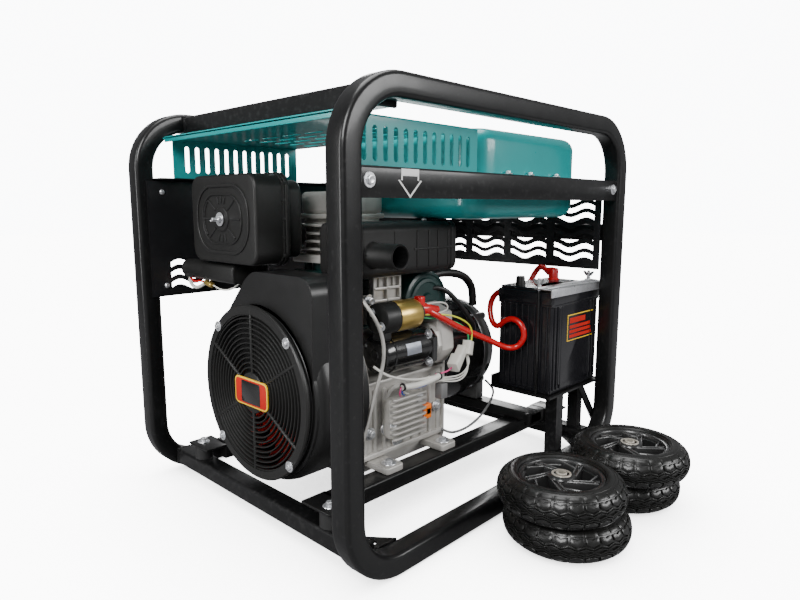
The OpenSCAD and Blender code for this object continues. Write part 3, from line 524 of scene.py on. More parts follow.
def railPiece(name, node, s, arms):
    # rolled angle with a rounded heel
    heel = [(railSet["inner"], railSet["top"] - railSet["sheet"]), (railSet["inner"], railSet["top"])]
    heel += arcPoints(railSet["outer"] - 4, railSet["top"] - 4, 4, 90, 0, 4)
    heel += [(railSet["outer"], railSet["low"]), (railSet["outer"] - railSet["sheet"], railSet["low"]),
             (railSet["outer"] - railSet["sheet"], railSet["top"] - railSet["sheet"])]
    bm = bmesh.new()
    face = bm.faces.new([bm.verts.new(at(-railSet["x"], s * y, z)) for y, z in heel])
    pull(bm, face, (2 * railSet["x"] * mm, 0, 0))
    bmesh.ops.recalc_face_normals(bm, faces=bm.faces)
    bevelEdges(bm, [e for e in bm.edges if e.calc_face_angle(0) > 1.2], 0.6 * mm, 2)
    for x in arms:
        block(bm, at(x, 157, 567), at(x + 30, 236, 570), 0.8)
    finishPiece(name, bm, [coatBlack], "machine", (node,))


railPiece("tankRailRight", "rail_right", -1, [])
railPiece("tankRailLeft", "rail_left", 1, [10, 240])

# plain downward arrow plate on the near rail
markSet = {"x": -262, "wide": 34, "bar": 8, "shaft": 6.75, "tip": 30, "top": 568}
bm = bmesh.new()
markX, half, barZ = markSet["x"], markSet["wide"] / 2, markSet["top"] - markSet["bar"]
block(bm, at(markX - half, -291.6, barZ), at(markX + half, -291.0, markSet["top"]), 0.2, 0, 1)
outline = [(-half, 0), (-half, -markSet["shaft"]), (-half * 1.36, -markSet["shaft"]), (0, -markSet["tip"]),
           (half * 1.36, -markSet["shaft"]), (half, -markSet["shaft"]), (half, 0)]
inner = [(x * 0.86, y * 0.84 - 1.2) for x, y in outline]
arrow = bmesh.new()
loops = []
for pts in (outline, inner):
    verts = [arrow.verts.new(at(markX + x, -291.3, barZ + y)) for x, y in pts]
    loops += [arrow.edges.new((verts[i], verts[(i + 1) % len(verts)])) for i in range(len(verts))]
bmesh.ops.triangle_fill(arrow, use_beauty=True, use_dissolve=False, edges=loops)
bmesh.ops.solidify(arrow, geom=arrow.faces[:], thickness=0.0003)
addTo(bm, arrow, 0)
finishPiece("railArrow", bm, [labelWhite], "machine")

beamSet = {"y": 160, "half": 20, "x": 300, "z": (52, 80), "crossLo": (190, -210, 80),
           "crossHi": (227, 210, 100), "mountX": 321, "mountY": 185}
bm = bmesh.new()
for s in (-1, 1):
    squareTube(bm, at(-beamSet["x"], s * beamSet["y"] - beamSet["half"], beamSet["z"][0]),
               at(beamSet["x"], s * beamSet["y"] + beamSet["half"], beamSet["z"][1]), 4)
    for m in (-1, 1):
        x0, x1 = sorted((m * 294, m * 340))
        y0, y1 = sorted((s * 140, s * 205))
        block(bm, at(x0, y0, 76), at(x1, y1, 80), 1.0)
        hexHead(bm, at(m * beamSet["mountX"], s * beamSet["mountY"], 80), (0, 0, 1), 11, 6, 1)
roundBlock(bm, at(*beamSet["crossLo"]), at(*beamSet["crossHi"]), 1, 3, 0.8)
for s in (-1, 1):
    block(bm, at(184, s * 204 - 6, 76), at(236, s * 204 + 6, 100), 2)
finishPiece("engineBeams", bm, [beamBlack, zinc], "machine", ("engine_beams",))
print("frame built")

# tank and top guard
tankSet = {"lo": (-35, -234, 497), "hi": (305, 155, 650), "corner": 46, "shoulder": 24, "belly": 26,
           "flange": 12, "flangeZ": (570, 574), "flangeCorner": 52}
tankLo, tankHi = at(*tankSet["lo"]), at(*tankSet["hi"])
bm = bmesh.new()


def tankShell(bm, z0, z1, topRound, lowRound):
    part = bmesh.new()
    bmesh.ops.create_cube(part, size=1.0)
    a, b = Vector((tankLo.x, tankLo.y, z0)), Vector((tankHi.x, tankHi.y, z1))
    bmesh.ops.transform(part, matrix=Matrix.Translation((a + b) / 2) @ Matrix.Diagonal((*(b - a), 1)),
                        verts=part.verts)
    bevelEdges(part, [e for e in part.edges if abs(e.verts[0].co.z - e.verts[1].co.z) > 0.01],
               tankSet["corner"] * mm, 10)
    for z, r in ((z1, topRound), (z0, lowRound)):
        rim = [e for e in part.edges if all(abs(v.co.z - z) < 1e-6 for v in e.verts) and e.is_manifold
               and e.calc_face_angle(0) > 1.0]
        if r:
            bevelEdges(part, rim, r * mm, 7)
    addTo(bm, part)


rimLow, rimHigh = (z * mm for z in tankSet["flangeZ"])
rimOut = Vector((tankSet["flange"] * mm, tankSet["flange"] * mm, 0))
tankShell(bm, rimHigh, tankHi.z, tankSet["shoulder"], 0)
tankShell(bm, tankLo.z, rimLow, 0, tankSet["belly"])
roundBlock(bm, Vector((tankLo.x, tankLo.y, rimLow)) - rimOut, Vector((tankHi.x, tankHi.y, rimHigh))
           + rimOut, 2, tankSet["flangeCorner"], 1.6, 0, 10)
# pressed panel on the top, filler neck, flange bolts and a round gauge
capAt = jointAt["fuel_cap_turn"]
roundBlock(bm, at(-5, -204, 649), at(275, 125, 651), 2, 34, 1.0, 0, 8)
lathe(bm, [(40, -0.5), (40, 1.6), (36, 3), (27, 3.2), (27, 15), (24, 15), (24, 4)],
      (capAt.x, capAt.y, tankHi.z), (0, 0, 1), 0)
for x in (40, 110, 200):
    hexHead(bm, at(x, -240, 574), (0, 0, 1), 8, 4, 1)
lathe(bm, [(0, 0), (17, 0), (17, 3), (14, 5), (0, 5)], at(60, 60, 650), (0, 0, 1), 2)
lathe(bm, [(0, 0), (13, 0), (12, 0.8), (0, 1)], at(60, 60, 655), (0, 0, 1), 3)
finishPiece("fuelTank", bm, [turquoise, zinc, plasticBlack, glassPale], "machine", ("fuel_tank",))

capSet = {"grips": 18, "gripAt": 33.2, "grip": 1.6, "bore": 27.5}
bm = bmesh.new()
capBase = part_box("fuel_cap")[0][2]
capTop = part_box("fuel_cap")[1][2]
capH = (capTop - capBase) / mm
lathe(bm, [(capSet["bore"], 0), (33, 0), (34, 1), (34, capH - 4), (31, capH - 1), (26, capH),
           (0, capH - 1.2)], (capAt.x, capAt.y, capBase), (0, 0, 1), 0)
lathe(bm, [(capSet["bore"], 0), (capSet["bore"], 13), (0, 13)], (capAt.x, capAt.y, capBase), (0, 0, 1), 0)
for i in range(capSet["grips"]):
    a = 2 * math.pi * i / capSet["grips"]
    out = Vector((math.cos(a), math.sin(a), 0)) * capSet["gripAt"] * mm
    foot = Vector((capAt.x, capAt.y, capBase + 1.5 * mm)) + out
    rod(bm, foot, foot + Vector((0, 0, (capH - 6) * mm)), capSet["grip"], 0, 0.5, 10)
block(bm, (capAt.x - 0.022, capAt.y - 0.004, capTop - 0.004), (capAt.x + 0.022, capAt.y + 0.004, capTop), 2)
finishPiece("fuelCap", bm, [plasticBlack], "fuel_cap", ("fuel_cap",))

guardSet = {"x0": -325, "x1": -49, "y": 240, "top": 642, "sheet": 2, "slots": 12, "pitch": 20.4,
            "first": -297.5}
bm = bmesh.new()
sideSlots = [slotOutline(guardSet["first"] + i * guardSet["pitch"], 604, 9, 48)
             for i in range(guardSet["slots"])]
for s in (-1, 1):
    y = guardSet["y"] if s > 0 else -guardSet["y"] + guardSet["sheet"]
    sheetCut(bm, [(guardSet["x0"], 570), (guardSet["x1"], 570), (guardSet["x1"], guardSet["top"] - 3),
                  (guardSet["x0"], guardSet["top"] - 3)], sideSlots, at(0, y, 0), "y",
             guardSet["sheet"])
topSlots = [slotOutline(-219 + 34 * i, -157 + 60 * j, 12, 46) for i in range(5) for j in range(6)]
sheetCut(bm, [(guardSet["x0"] - 18, -guardSet["y"] + 3), (guardSet["x1"], -guardSet["y"] + 3),
              (guardSet["x1"], guardSet["y"] - 3), (guardSet["x0"] - 18, guardSet["y"] - 3)], topSlots,
         at(0, 0, guardSet["top"] - guardSet["sheet"]), "z", guardSet["sheet"])
for s in (-1, 1):
    # rolled edge between the top and each side
    bend = bmesh.new()
    heelY, heelZ = guardSet["y"] - 3, guardSet["top"] - 3
    pts = arcPoints(heelY, heelZ, 3, 90, 0, 5) + arcPoints(heelY, heelZ, 1, 0, 90, 3)
    face = bend.faces.new([bend.verts.new(at(guardSet["x0"], s * y, z)) for y, z in pts])
    pull(bend, face, ((guardSet["x1"] - guardSet["x0"]) * mm, 0, 0))
    addTo(bm, bend)
block(bm, at(-343, -232, 632), at(-341, 232, 642), 0.6)
finishPiece("topGuard", bm, [turquoise], "machine", ("top_guard",))
print("tank and guard built")

# blower, fan and grille
blowerSet = {"x0": -322, "x1": -210, "rim": 156, "mouth": 138, "neckEdge": 13,
             "neck": [(-140, 226), (-142, 398), (-124, 415), (12, 415), (34, 402), (118, 312), (100, 226)],
             "lowNeck": [(-138, 226), (-140, 392), (-126, 403), (10, 403), (118, 306), (98, 226)]}
bm = bmesh.new()
rim = blowerSet["rim"]
lathe(bm, [(130, 20), (rim - 8, 20), (rim - 8, 4), (rim - 6, 0), (rim - 1.5, 0), (rim, 2), (rim, 78),
           (rim - 1.5, 86), (rim - 5, 92), (rim - 9, 96), (rim - 9, 101), (rim - 11, 103),
           (blowerSet["mouth"] + 1, 103), (blowerSet["mouth"], 104), (blowerSet["mouth"], 112),
           (blowerSet["mouth"] - 3, 112), (blowerSet["mouth"] - 3, 100), (rim - 14, 97), (rim - 8, 90),
           (rim - 8, 20)], onShaft(blowerSet["x1"]), (-1, 0, 0), 0, 96)


def shroud(outline, x0, x1, edge):
    # blown neck: outline is Y, Z in mm and the front rim is rounded wide
    part = bmesh.new()
    face = part.faces.new([part.verts.new(at(x0, y, z)) for y, z in outline])
    pull(part, face, ((x1 - x0) * mm, 0, 0))
    bmesh.ops.recalc_face_normals(part, faces=part.faces)
    lean = [e for e in part.edges if abs(e.verts[0].co.x - e.verts[1].co.x) > 0.01]
    bevelEdges(part, lean, edge * 1.4 * mm, 5)
    front = [e for e in part.edges if all(abs(v.co.x - at(x0, 0, 0).x) < 1e-6 for v in e.verts)]
    bevelEdges(part, front, edge * mm, 6)
    return part


addTo(bm, shroud(blowerSet["neck"], blowerSet["x0"] + 9, -255, blowerSet["neckEdge"]))
addTo(bm, shroud(blowerSet["lowNeck"], -256, blowerSet["x1"], 1.5))
# lap seam round the back
ring(bm, onShaft(-232), (-1, 0, 0), rim - 4, rim, 6, 0, 1.2, 96)
finishPiece("blowerHousing", bm, [housingBlack], "machine", ("blower_housing",))

grilleSet = {"x": -330, "rings": 12, "first": 42, "pitch": 8.2, "wire": 1.5, "outer": 146, "spokes": 6}
bm = bmesh.new()
for i in range(grilleSet["rings"]):
    r = grilleSet["first"] + i * grilleSet["pitch"]
    w = grilleSet["wire"]
    lathe(bm, [(r - w, 0), (r - w * 0.5, w * 0.9), (r + w * 0.5, w * 0.9), (r + w, 0), (r + w, -4),
               (r - w, -4), (r - w, 0)], onShaft(-329.2 + w), (-1, 0, 0), 0, 96)
for i in range(grilleSet["spokes"]):
    root, tip = onCircle(30, 30 + 60 * i), onCircle(138, 30 + 60 * i)
    rod(bm, at(grilleSet["x"] + 3.2, *root), at(grilleSet["x"] + 3.2, *tip), 3.0, 0, 0.5, 16)
ring(bm, onShaft(-322), (-1, 0, 0), 131, grilleSet["outer"], 7.6, 0, 2.2, 96)
ring(bm, onShaft(-322), (-1, 0, 0), 128.5, 132, 5.5, 0, 1, 96)
lathe(bm, [(0, 0), (33, 0), (34, 1.2), (34, 6), (32, 7), (0, 7)], onShaft(-323), (-1, 0, 0), 0, 48)
# plain badge: yellow edge, red field, black middle
badge = {"w": 94, "h": 47, "r": 10}
for w, h, r, depth, out, m in ((badge["w"], badge["h"], badge["r"], 2.6, -329.4, 1),
                               (badge["w"] - 5, badge["h"] - 5, badge["r"] - 2, 1.2, -331.0, 2),
                               (badge["w"] - 40, badge["h"] - 10, 3, 1.2, -331.4, 3)):
    prism(bm, roundedOutline(-w / 2, w / 2, -h / 2, h / 2, r), onShaft(out), (-1, 0, 0), depth, 0.5, m)
finishPiece("fanGrille", bm, [plasticBlack, labelYellow, labelRed, glossBlack], "machine", ("fan_grille",))

fanSet = {"blades": 20, "tip": 129, "root": 60, "x0": -305, "x1": -247, "bend": 26}
bm = bmesh.new()
lathe(bm, [(0, 0), (118, 0), (126, 4), (126, 20), (122, 26), (110, 27), (60, 30), (46, 34), (44, 82),
           (40, 86), (0, 86)], onShaft(-221.5), (-1, 0, 0), 0, 72)
for i in range(fanSet["blades"]):
    part = bmesh.new()
    rows = []
    for k in range(9):
        t = k / 8
        r = fanSet["root"] + (fanSet["tip"] - fanSet["root"]) * t
        a = math.radians(360 * i / fanSet["blades"] + fanSet["bend"] * t * t)
        rows.append([part.verts.new(at(x, r * math.cos(a), shaftZ + r * math.sin(a)))
                     for x in (fanSet["x1"], fanSet["x0"] + 12 * (1 - t))])
    for lowRow, highRow in zip(rows, rows[1:]):
        part.faces.new((lowRow[0], lowRow[1], highRow[1], highRow[0]))
    bmesh.ops.solidify(part, geom=part.faces[:], thickness=2.2 * mm)
    addTo(bm, part, 0)
hexHead(bm, onShaft(-306), (-1, 0, 0), 20, 2, 1, False)
finishPiece("coolingFan", bm, [fanRed, zinc], "engine_rotor", ("flywheel_fan",))
print("blower built")

# crankcase
caseSet = {"x0": -210, "ribs": 9, "firstRib": -194, "ribPitch": 23.5, "rib": 10, "feet": (-190, -50),
           "bellBolts": 12}
bm = bmesh.new()
prism(bm, [(-112, 66), (-124, 94), (-124, 222), (-92, 236), (-92, 299), (100, 299), (124, 260),
           (124, 94), (112, 66)], at(caseSet["x0"] + 3, 0, 0), (1, 0, 0), 214, 4, 0, 3)
for x in (caseSet["x0"], 4):
    plate = [(-118, 62), (-128, 90), (-128, 228), (-96, 242), (-96, 300), (102, 300), (128, 264),
             (128, 90), (118, 62)]
    prism(bm, plate, at(x, 0, 0), (1, 0, 0), 7, 1.6)
for s in (-1, 1):
    for z, tall in ((98, 9), (224, 7)):
        y0, y1 = sorted((s * 120, s * 130.5))
        block(bm, at(-206, y0, z - tall / 2), at(6, y1, z + tall / 2), 2)
    for i in range(caseSet["ribs"]):
        x = caseSet["firstRib"] + i * caseSet["ribPitch"]
        y0, y1 = sorted((s * 118, s * 128.5))
        roundBlock(bm, at(x - caseSet["rib"] / 2, y0, 96), at(x + caseSet["rib"] / 2, y1, 212), 2, 4, 1.5)
    lathe(bm, [(0, 0), (34, 0), (34, 6), (30, 9), (26, 9), (24, 7), (0, 7)], at(-118, s * 122, 178),
          (0, s, 0), 0)
    for x in (-186, -150, -80, -16):
        z = 150 if x > -100 else 140
        lathe(bm, [(0, 0), (9, 0), (9, 7), (8, 8), (0, 8)], at(x, s * 122, z), (0, s, 0), 0, 24)
        hexHead(bm, at(x, s * 130, z), (0, s, 0), 11, 6, 1)
    for x in caseSet["feet"]:
        y0, y1 = sorted((s * 115, s * 175))
        roundBlock(bm, at(x, y0, 80.3), at(x + 40, y1, 92), 2, 6, 2)
    hexHead(bm, at(-120, s * 128, 112), (0, s, 0), 12, 6, 1)
# flange against the blower, following its round back
flange = [(-112, 80)] + arcPoints(0, shaftZ, 150, 214, 146, 12) + [(-112, 298), (100, 298)]
flange += arcPoints(0, shaftZ, 150, 34, -34, 12) + [(112, 80)]
prism(bm, flange, at(-209.5, 0, 0), (1, 0, 0), 5, 1.4, 0)
# bell adapter to the alternator
lathe(bm, [(60, 0), (108, 0), (112, 2), (112, 8), (109, 10), (109, 15), (112, 17), (112, 21), (60, 21)],
      onShaft(9), (1, 0, 0), 0, 72)
for i in range(caseSet["bellBolts"]):
    y, z = onCircle(106, 15 + 360 * i / caseSet["bellBolts"])
    if z < 305:
        rod(bm, at(8, y, z), at(29.5, y, z), 5.5, 0, 1, 16)
# starter seat cast into the case
prism(bm, [(-158, 258), (-165, 274), (-158, 300), (-138, 312), (-112, 306), (-96, 290), (-92, 250),
           (-128, 238)], at(-52, 0, 0), (1, 0, 0), 13, 2.5, 0, 3)
prism(bm, [(-140, 236), (-156, 262), (-150, 330), (-112, 345), (-88, 320), (-80, 236)], at(-36, 0, 0),
      (1, 0, 0), 44, 9, 0, 4)
finishPiece("crankcase", bm, [castAlloy, zinc], "machine", ("crankcase",))

blockSet = {"x": -120, "y": 10, "hx": 70, "hy": 68, "fins": 7, "firstFin": 311.5, "finPitch": 15,
            "fin": 3.4}
bm = bmesh.new()
lathe(bm, [(0, 0), (62, 0), (62, 4), (55, 8), (55, 118), (0, 118)],
      at(blockSet["x"], blockSet["y"], 300.5), (0, 0, 1), 0, 40)
for i in range(blockSet["fins"]):
    z = blockSet["firstFin"] + i * blockSet["finPitch"]
    roundBlock(bm, at(blockSet["x"] - blockSet["hx"], blockSet["y"] - blockSet["hy"], z),
               at(blockSet["x"] + blockSet["hx"], blockSet["y"] + blockSet["hy"], z + blockSet["fin"]),
               2, 22, 1.3, 0, 5)
for sx in (-1, 1):
    for sy in (-1, 1):
        rod(bm, at(blockSet["x"] + sx * 46, blockSet["y"] + sy * 44, 300),
            at(blockSet["x"] + sx * 46, blockSet["y"] + sy * 44, 419), 7, 0)
roundBlock(bm, at(blockSet["x"] - 60, blockSet["y"] - 67, 316),
           at(blockSet["x"] + 69, blockSet["y"] - 40, 398), 1, 12, 4, 0)
finishPiece("cylinderBlock", bm, [darkGreen], "machine", ("cylinder_block",))

headSet = {"x0": -190, "x1": -50, "y0": -58, "y1": 78, "low": 420, "fins": 4, "finPitch": 14, "fin": 4}
bm = bmesh.new()
for i in range(headSet["fins"] + 1):
    # the lowest slab is the joint face, the fins stand above it
    low = headSet["low"] + (8 + i * headSet["finPitch"] if i else 0)
    high = low + (headSet["fin"] if i else 14)
    roundBlock(bm, at(headSet["x0"], headSet["y0"], low), at(headSet["x1"], headSet["y1"], high), 2, 14,
               1.4 if i else 2)
roundBlock(bm, at(-170, -40, 433), at(-70, 60, 500), 2, 8, 1)
roundBlock(bm, at(-184, -43, 498), at(-56, 63, 506), 2, 15, 2)
roundBlock(bm, at(-181, -40, 505), at(-59, 60, 545), 2, 16, 9)
for x in (-168, -72):
    for y in (-28, 48):
        hexHead(bm, at(x, y, 506), (0, 0, 1), 10, 6, 1)
rod(bm, at(-85, 10, 544), at(-85, 10, 556.5), 5, 1)
roundBlock(bm, at(-140, -56, 446), at(-100, -30, 480), 1, 8, 2)
finishPiece("cylinderHead", bm, [castAlloy, zinc], "machine", ("cylinder_head",))

# ribbed cast guard over the pushrods, near side
pushrodSet = {"x0": -152, "x1": -84, "y": -98, "z0": 356, "z1": 403}
bm = bmesh.new()
block(bm, at(pushrodSet["x0"], pushrodSet["y"], pushrodSet["z0"]),
      at(pushrodSet["x1"], pushrodSet["y"] + 4, pushrodSet["z1"]), 1)
midX = (pushrodSet["x0"] + pushrodSet["x1"]) / 2
midZ = (pushrodSet["z0"] + pushrodSet["z1"]) / 2
for x in (pushrodSet["x0"], midX - 2.5, pushrodSet["x1"] - 5):
    block(bm, at(x, pushrodSet["y"] - 7, pushrodSet["z0"]),
          at(x + 5, pushrodSet["y"] + 1, pushrodSet["z1"]), 1.4)
for z in (pushrodSet["z0"], midZ - 2.5, pushrodSet["z1"] - 5):
    block(bm, at(pushrodSet["x0"], pushrodSet["y"] - 7, z),
          at(pushrodSet["x1"], pushrodSet["y"] + 1, z + 5), 1.4)
for x in (pushrodSet["x0"] + 17, midX + 17):
    block(bm, at(x - 1.5, pushrodSet["y"] - 4, midZ), at(x + 1.5, pushrodSet["y"] + 1, pushrodSet["z1"]),
          0.6)
block(bm, at(pushrodSet["x0"] - 2, pushrodSet["y"], pushrodSet["z0"] - 40),
      at(pushrodSet["x0"] + 40, -60, pushrodSet["z0"] + 2), 3)
hexHead(bm, at(pushrodSet["x0"] - 6, pushrodSet["y"] - 2, pushrodSet["z0"] + 4), (0, -1, 0), 12, 6, 1)
block(bm, at(pushrodSet["x0"] - 16, pushrodSet["y"], pushrodSet["z0"] - 6),
      at(pushrodSet["x0"] + 2, pushrodSet["y"] + 8, pushrodSet["z0"] + 14), 3)
finishPiece("castGuard", bm, [castAlloy, zinc], "machine")
bm = bmesh.new()
lathe(bm, [(0, 0), (60, 0), (60, 30), (57, 36), (52, 38), (50, 36), (46, 36), (44, 39), (38, 40),
           (36, 38), (18, 38), (15, 42), (0, 42)], at(-14, -66, 343), (0, -1, 0), 0, 72)
roundBlock(bm, at(-76, -96, 300), at(40, -62, 360), 1, 10, 5, 0, 5)
finishPiece("sideCover", bm, [darkGreen], "machine")

bm = bmesh.new()
lathe(bm, [(5.3, 0), (10, 0), (10, 7), (8.6, 8.6), (5.3, 8.6)], at(-85, 10, 545.4), (0, 0, 1), 0, 28)
roundBlock(bm, at(-89, 10, 548), at(-81, 56, 552), 2, 3.5, 1)
finishPiece("decompressionLever", bm, [plasticBlack], "decomp_lever", ("decompression_lever",))
print("crankcase built")

# alternator
altSet = {"x0": 30, "x1": 165, "bolts": (45, 135, 225, 315), "spokes": 16, "vents": range(200, 341, 20)}
bm = bmesh.new()
lathe(bm, [(72, 0), (106, 0), (108, 1.5), (108, 12), (110, 14), (110, 121), (108, 123), (108, 133.5),
           (106, 135), (72, 135), (72, 0)], onShaft(altSet["x0"]), (1, 0, 0), 0, 96)
for deg in altSet["bolts"]:
    y, z = onCircle(107.6, deg)
    rod(bm, at(altSet["x0"] + 1, y, z), at(altSet["x1"] - 1, y, z), 2.3, 1, 0.3, 14)
finishPiece("alternatorBarrel", bm, [glossBlack, zinc], "machine", ("alternator_case",))
bm = bmesh.new()
lathe(bm, [(60, 0), (104, 0), (107, 3), (107, 14), (104, 18), (100, 40), (92, 47), (40, 50), (22.6, 50),
           (22.6, 38), (60, 38), (60, 0)], onShaft(altSet["x1"]), (1, 0, 0), 0, 96)
for i in range(altSet["spokes"]):
    deg = 11 + 360 * i / altSet["spokes"]
    root, tip = onCircle(50, deg), onCircle(90, deg)
    rod(bm, at(altSet["x1"] + 47.5, *root), at(altSet["x1"] + 47.5, *tip), 2.4, 0, 1, 10)
for deg in altSet["bolts"]:
    y, z = onCircle(98, deg)
    rod(bm, at(altSet["x1"] - 2, y, z), at(altSet["x1"] + 44, y, z), 8, 0, 1.5, 20)
    hexHead(bm, at(altSet["x1"] + 43.8, y, z), (1, 0, 0), 8, 4.6, 1, False)
roundBlock(bm, at(193, -70, 100.2), at(215, 70, 140), 0, 5, 2)
for s in (-1, 1):
    hexHead(bm, at(204, s * 56, 139), (0, 0, 1), 12, 7, 2)
# vents drawn as raised near-black pads: painted shade in the openings
for deg in altSet["vents"]:
    outward = (0, *onCircle(1, deg, 0, 0))
    prism(bm, roundedOutline(-4, 4, -9, 9, 3.5), at(altSet["x1"] + 22, *onCircle(104.6, deg)), outward,
          1.2, 0.3, 3)
finishPiece("alternatorEndBell", bm, [bellGrey, zinc, brass, paintedHoleShade], "machine",
            ("alternator_end_bell",))

# starter and solenoid
startSet = {"y": -130, "z": 274, "radius": 35, "plateStrips": 7}
bm = bmesh.new()
lathe(bm, [(0, 0), (26, 0), (31, 3), (33, 8), (33, 20), (35, 21), (35, 100), (33, 102), (33, 118),
           (30, 124), (0, 124)], at(-176, startSet["y"], startSet["z"]), (1, 0, 0), 0, 56)
lathe(bm, [(0, 0), (20, 0), (20, 16), (17, 20), (0, 20)], at(-60, startSet["y"], startSet["z"]),
      (1, 0, 0), 0, 36)
lathe(bm, [(0, 0), (12, 0), (12, 3), (9, 5), (0, 5)], at(-172, startSet["y"], startSet["z"]), (-1, 0, 0),
      0, 28)
for deg in (35, 215):
    y, z = onCircle(24, deg, startSet["y"], startSet["z"])
    hexHead(bm, at(-174, y, z), (-1, 0, 0), 7, 2, 1, False)
prism(bm, [(-164, 250), (-152, 240), (-118, 236), (-92, 244), (-92, 298), (-120, 300), (-150, 306),
           (-164, 292)], at(-66, 0, 0), (1, 0, 0), 14, 2.5, 0, 3)
for y, z in ((-156, 248), (-154, 298)):
    hexHead(bm, at(-66, y, z), (-1, 0, 0), 9, 5, 1)
block(bm, at(-150, -138, 303), at(-100, -122, 314), 2.5)
# plain silver plate wrapped on the barrel
part = bmesh.new()
for i in range(startSet["plateStrips"] + 1):
    for x in (-132, -96):
        part.verts.new(at(x,
                          *onCircle(startSet["radius"] + 0.3, 184 - i * 4.6, startSet["y"], startSet["z"])))
part.verts.ensure_lookup_table()
for i in range(startSet["plateStrips"]):
    part.faces.new([part.verts[n] for n in (i * 2, i * 2 + 1, i * 2 + 3, i * 2 + 2)])
bmesh.ops.solidify(part, geom=part.faces[:], thickness=0.3 * mm)
addTo(bm, part, 2)
finishPiece("starterMotor", bm, [glossBlack, zinc, labelSilver], "machine", ("starter_motor",))

solSet = {"y": -142, "z": 337}
bm = bmesh.new()
lathe(bm, [(0, 0), (21, 0), (26, 2.5), (26.5, 4), (26.5, 33), (24, 35), (0, 35)],
      at(-182, solSet["y"], solSet["z"]), (1, 0, 0), 0, 40)
lathe(bm, [(0, 0), (25.4, 0), (26, 1), (26, 52), (25, 55), (0, 55)], at(-148, solSet["y"], solSet["z"]),
      (1, 0, 0), 1, 48)
lathe(bm, [(0, 0), (20, 0), (20, 8), (18, 11), (0, 11)], at(-93, solSet["y"], solSet["z"]), (1, 0, 0), 0,
      36)
for dy, dz in ((-12, -10), (10, 10)):
    rod(bm, at(-178, solSet["y"] + dy, solSet["z"] + dz), at(-186, solSet["y"] + dy, solSet["z"] + dz),
        3, 2, 0.5, 16)
    hexHead(bm, at(-180.8, solSet["y"] + dy, solSet["z"] + dz), (-1, 0, 0), 8, 3, 3, True)
roundBlock(bm, at(-178, -156, 300), at(-160, -128, 320), 0, 5, 2)
ring(bm, at(-150, solSet["y"], solSet["z"]), (1, 0, 0), 20, 27, 3.4, 0, 0.8)
finishPiece("starterSolenoid", bm, [plasticBlack, brass, brass, zinc], "machine", ("starter_solenoid",))

# regulator
regSet = {"x": -118, "fins": 8, "firstFin": 126.4, "finPitch": 9.9}
bm = bmesh.new()
roundBlock(bm, at(-160, -150, 127), at(-76, -136, 197), 1, 6, 1.6)
for s in (-1, 1):
    x = regSet["x"] + s * 26
    roundBlock(bm, at(x - 12, -137, 132), at(x + 12, -128, 192), 1, 5, 1)
for i in range(regSet["fins"]):
    z = regSet["firstFin"] + i * regSet["finPitch"]
    inset = 5 if i in (0, regSet["fins"] - 1) else 0
    outline = [(-42 + inset, 0), (-42, -9), (-35, -12), (35, -12), (42, -9), (42 - inset, 0)]
    prism(bm, outline, at(regSet["x"], -150, z), (0, 0, 1), 3.6, 0.9, 0)
for s in (-1, 1):
    hexHead(bm, at(regSet["x"] + s * 34, -150, 150 if s < 0 else 186), (0, -1, 0), 8, 4, 1)
finishPiece("regulator", bm, [castAlloy, zinc], "machine", ("regulator",))
bm = bmesh.new()
roundBlock(bm, at(-77, -154, 142.4), at(-56, -138.2, 169.6), 0, 2.5, 2)
block(bm, at(-70, -154, 150), at(-58, -152, 162), 1)
finishPiece("regulatorPlug", bm, [orange], "machine", ("regulator_plug",))
print("electrics on the engine built")

# muffler and air filter
mufSet = {"x0": -235, "x1": 12, "y0": -155, "y1": -62, "z0": 405, "z1": 494,
          "ribs": (-150, -96, -66, -42, -14), "outletX": -198, "outletZ": 443}
bm = bmesh.new()
roundBlock(bm, at(mufSet["x0"], mufSet["y0"] + 1.4, mufSet["z0"]),
           at(mufSet["x1"], mufSet["y1"], mufSet["z1"]), 0, 16, 7, 0, 8)
for x in mufSet["ribs"]:
    roundBlock(bm, at(x - 2.2, mufSet["y0"], mufSet["z0"] + 12),
               at(x + 2.2, mufSet["y0"] + 5, mufSet["z1"] - 14), 2, 2, 1.3)
roundBlock(bm, at(-104, mufSet["y0"] + 0.2, 446), at(2, mufSet["y0"] + 5, 450), 0, 1.6, 1)
for x in (mufSet["x0"] + 14, mufSet["x1"] - 17):
    roundBlock(bm, at(x - 2, mufSet["y0"], mufSet["z0"] - 0.2),
               at(x + 2, mufSet["y1"] + 0.4, mufSet["z1"] + 0.4), 0, 16.4, 1.2, 0, 8)
lathe(bm, [(17, 64), (18.5, 65), (20, 63.5), (20, 10), (22.5, 4), (24.5, 3), (24.5, 0), (17, 0)],
      at(mufSet["outletX"], mufSet["y0"] + 7, mufSet["outletZ"]), (0, -1, 0), 0, 48)
# inside of the outlet pipe in near-black: painted shade
lathe(bm, [(17, 64), (17, 8), (0, 8)], at(mufSet["outletX"], mufSet["y0"] + 7, mufSet["outletZ"]),
      (0, -1, 0), 1, 48)
for x in (-212, -30):
    hexHead(bm, at(x, -110, mufSet["z1"] - 0.5), (0, 0, 1), 9, 4, 2, False)
roundBlock(bm, at(-142, -63, 444), at(-98, -57.8, 482), 1, 6, 1)
finishPiece("muffler", bm, [mufflerBlack, paintedHoleShade, zinc], "machine", ("muffler",))

filterSet = {"y": 75, "z": 498, "w": 200, "h": 146, "x1": -272}
bm = bmesh.new()
filterY = (filterSet["y"] - filterSet["w"] / 2, filterSet["y"] + filterSet["w"] / 2)


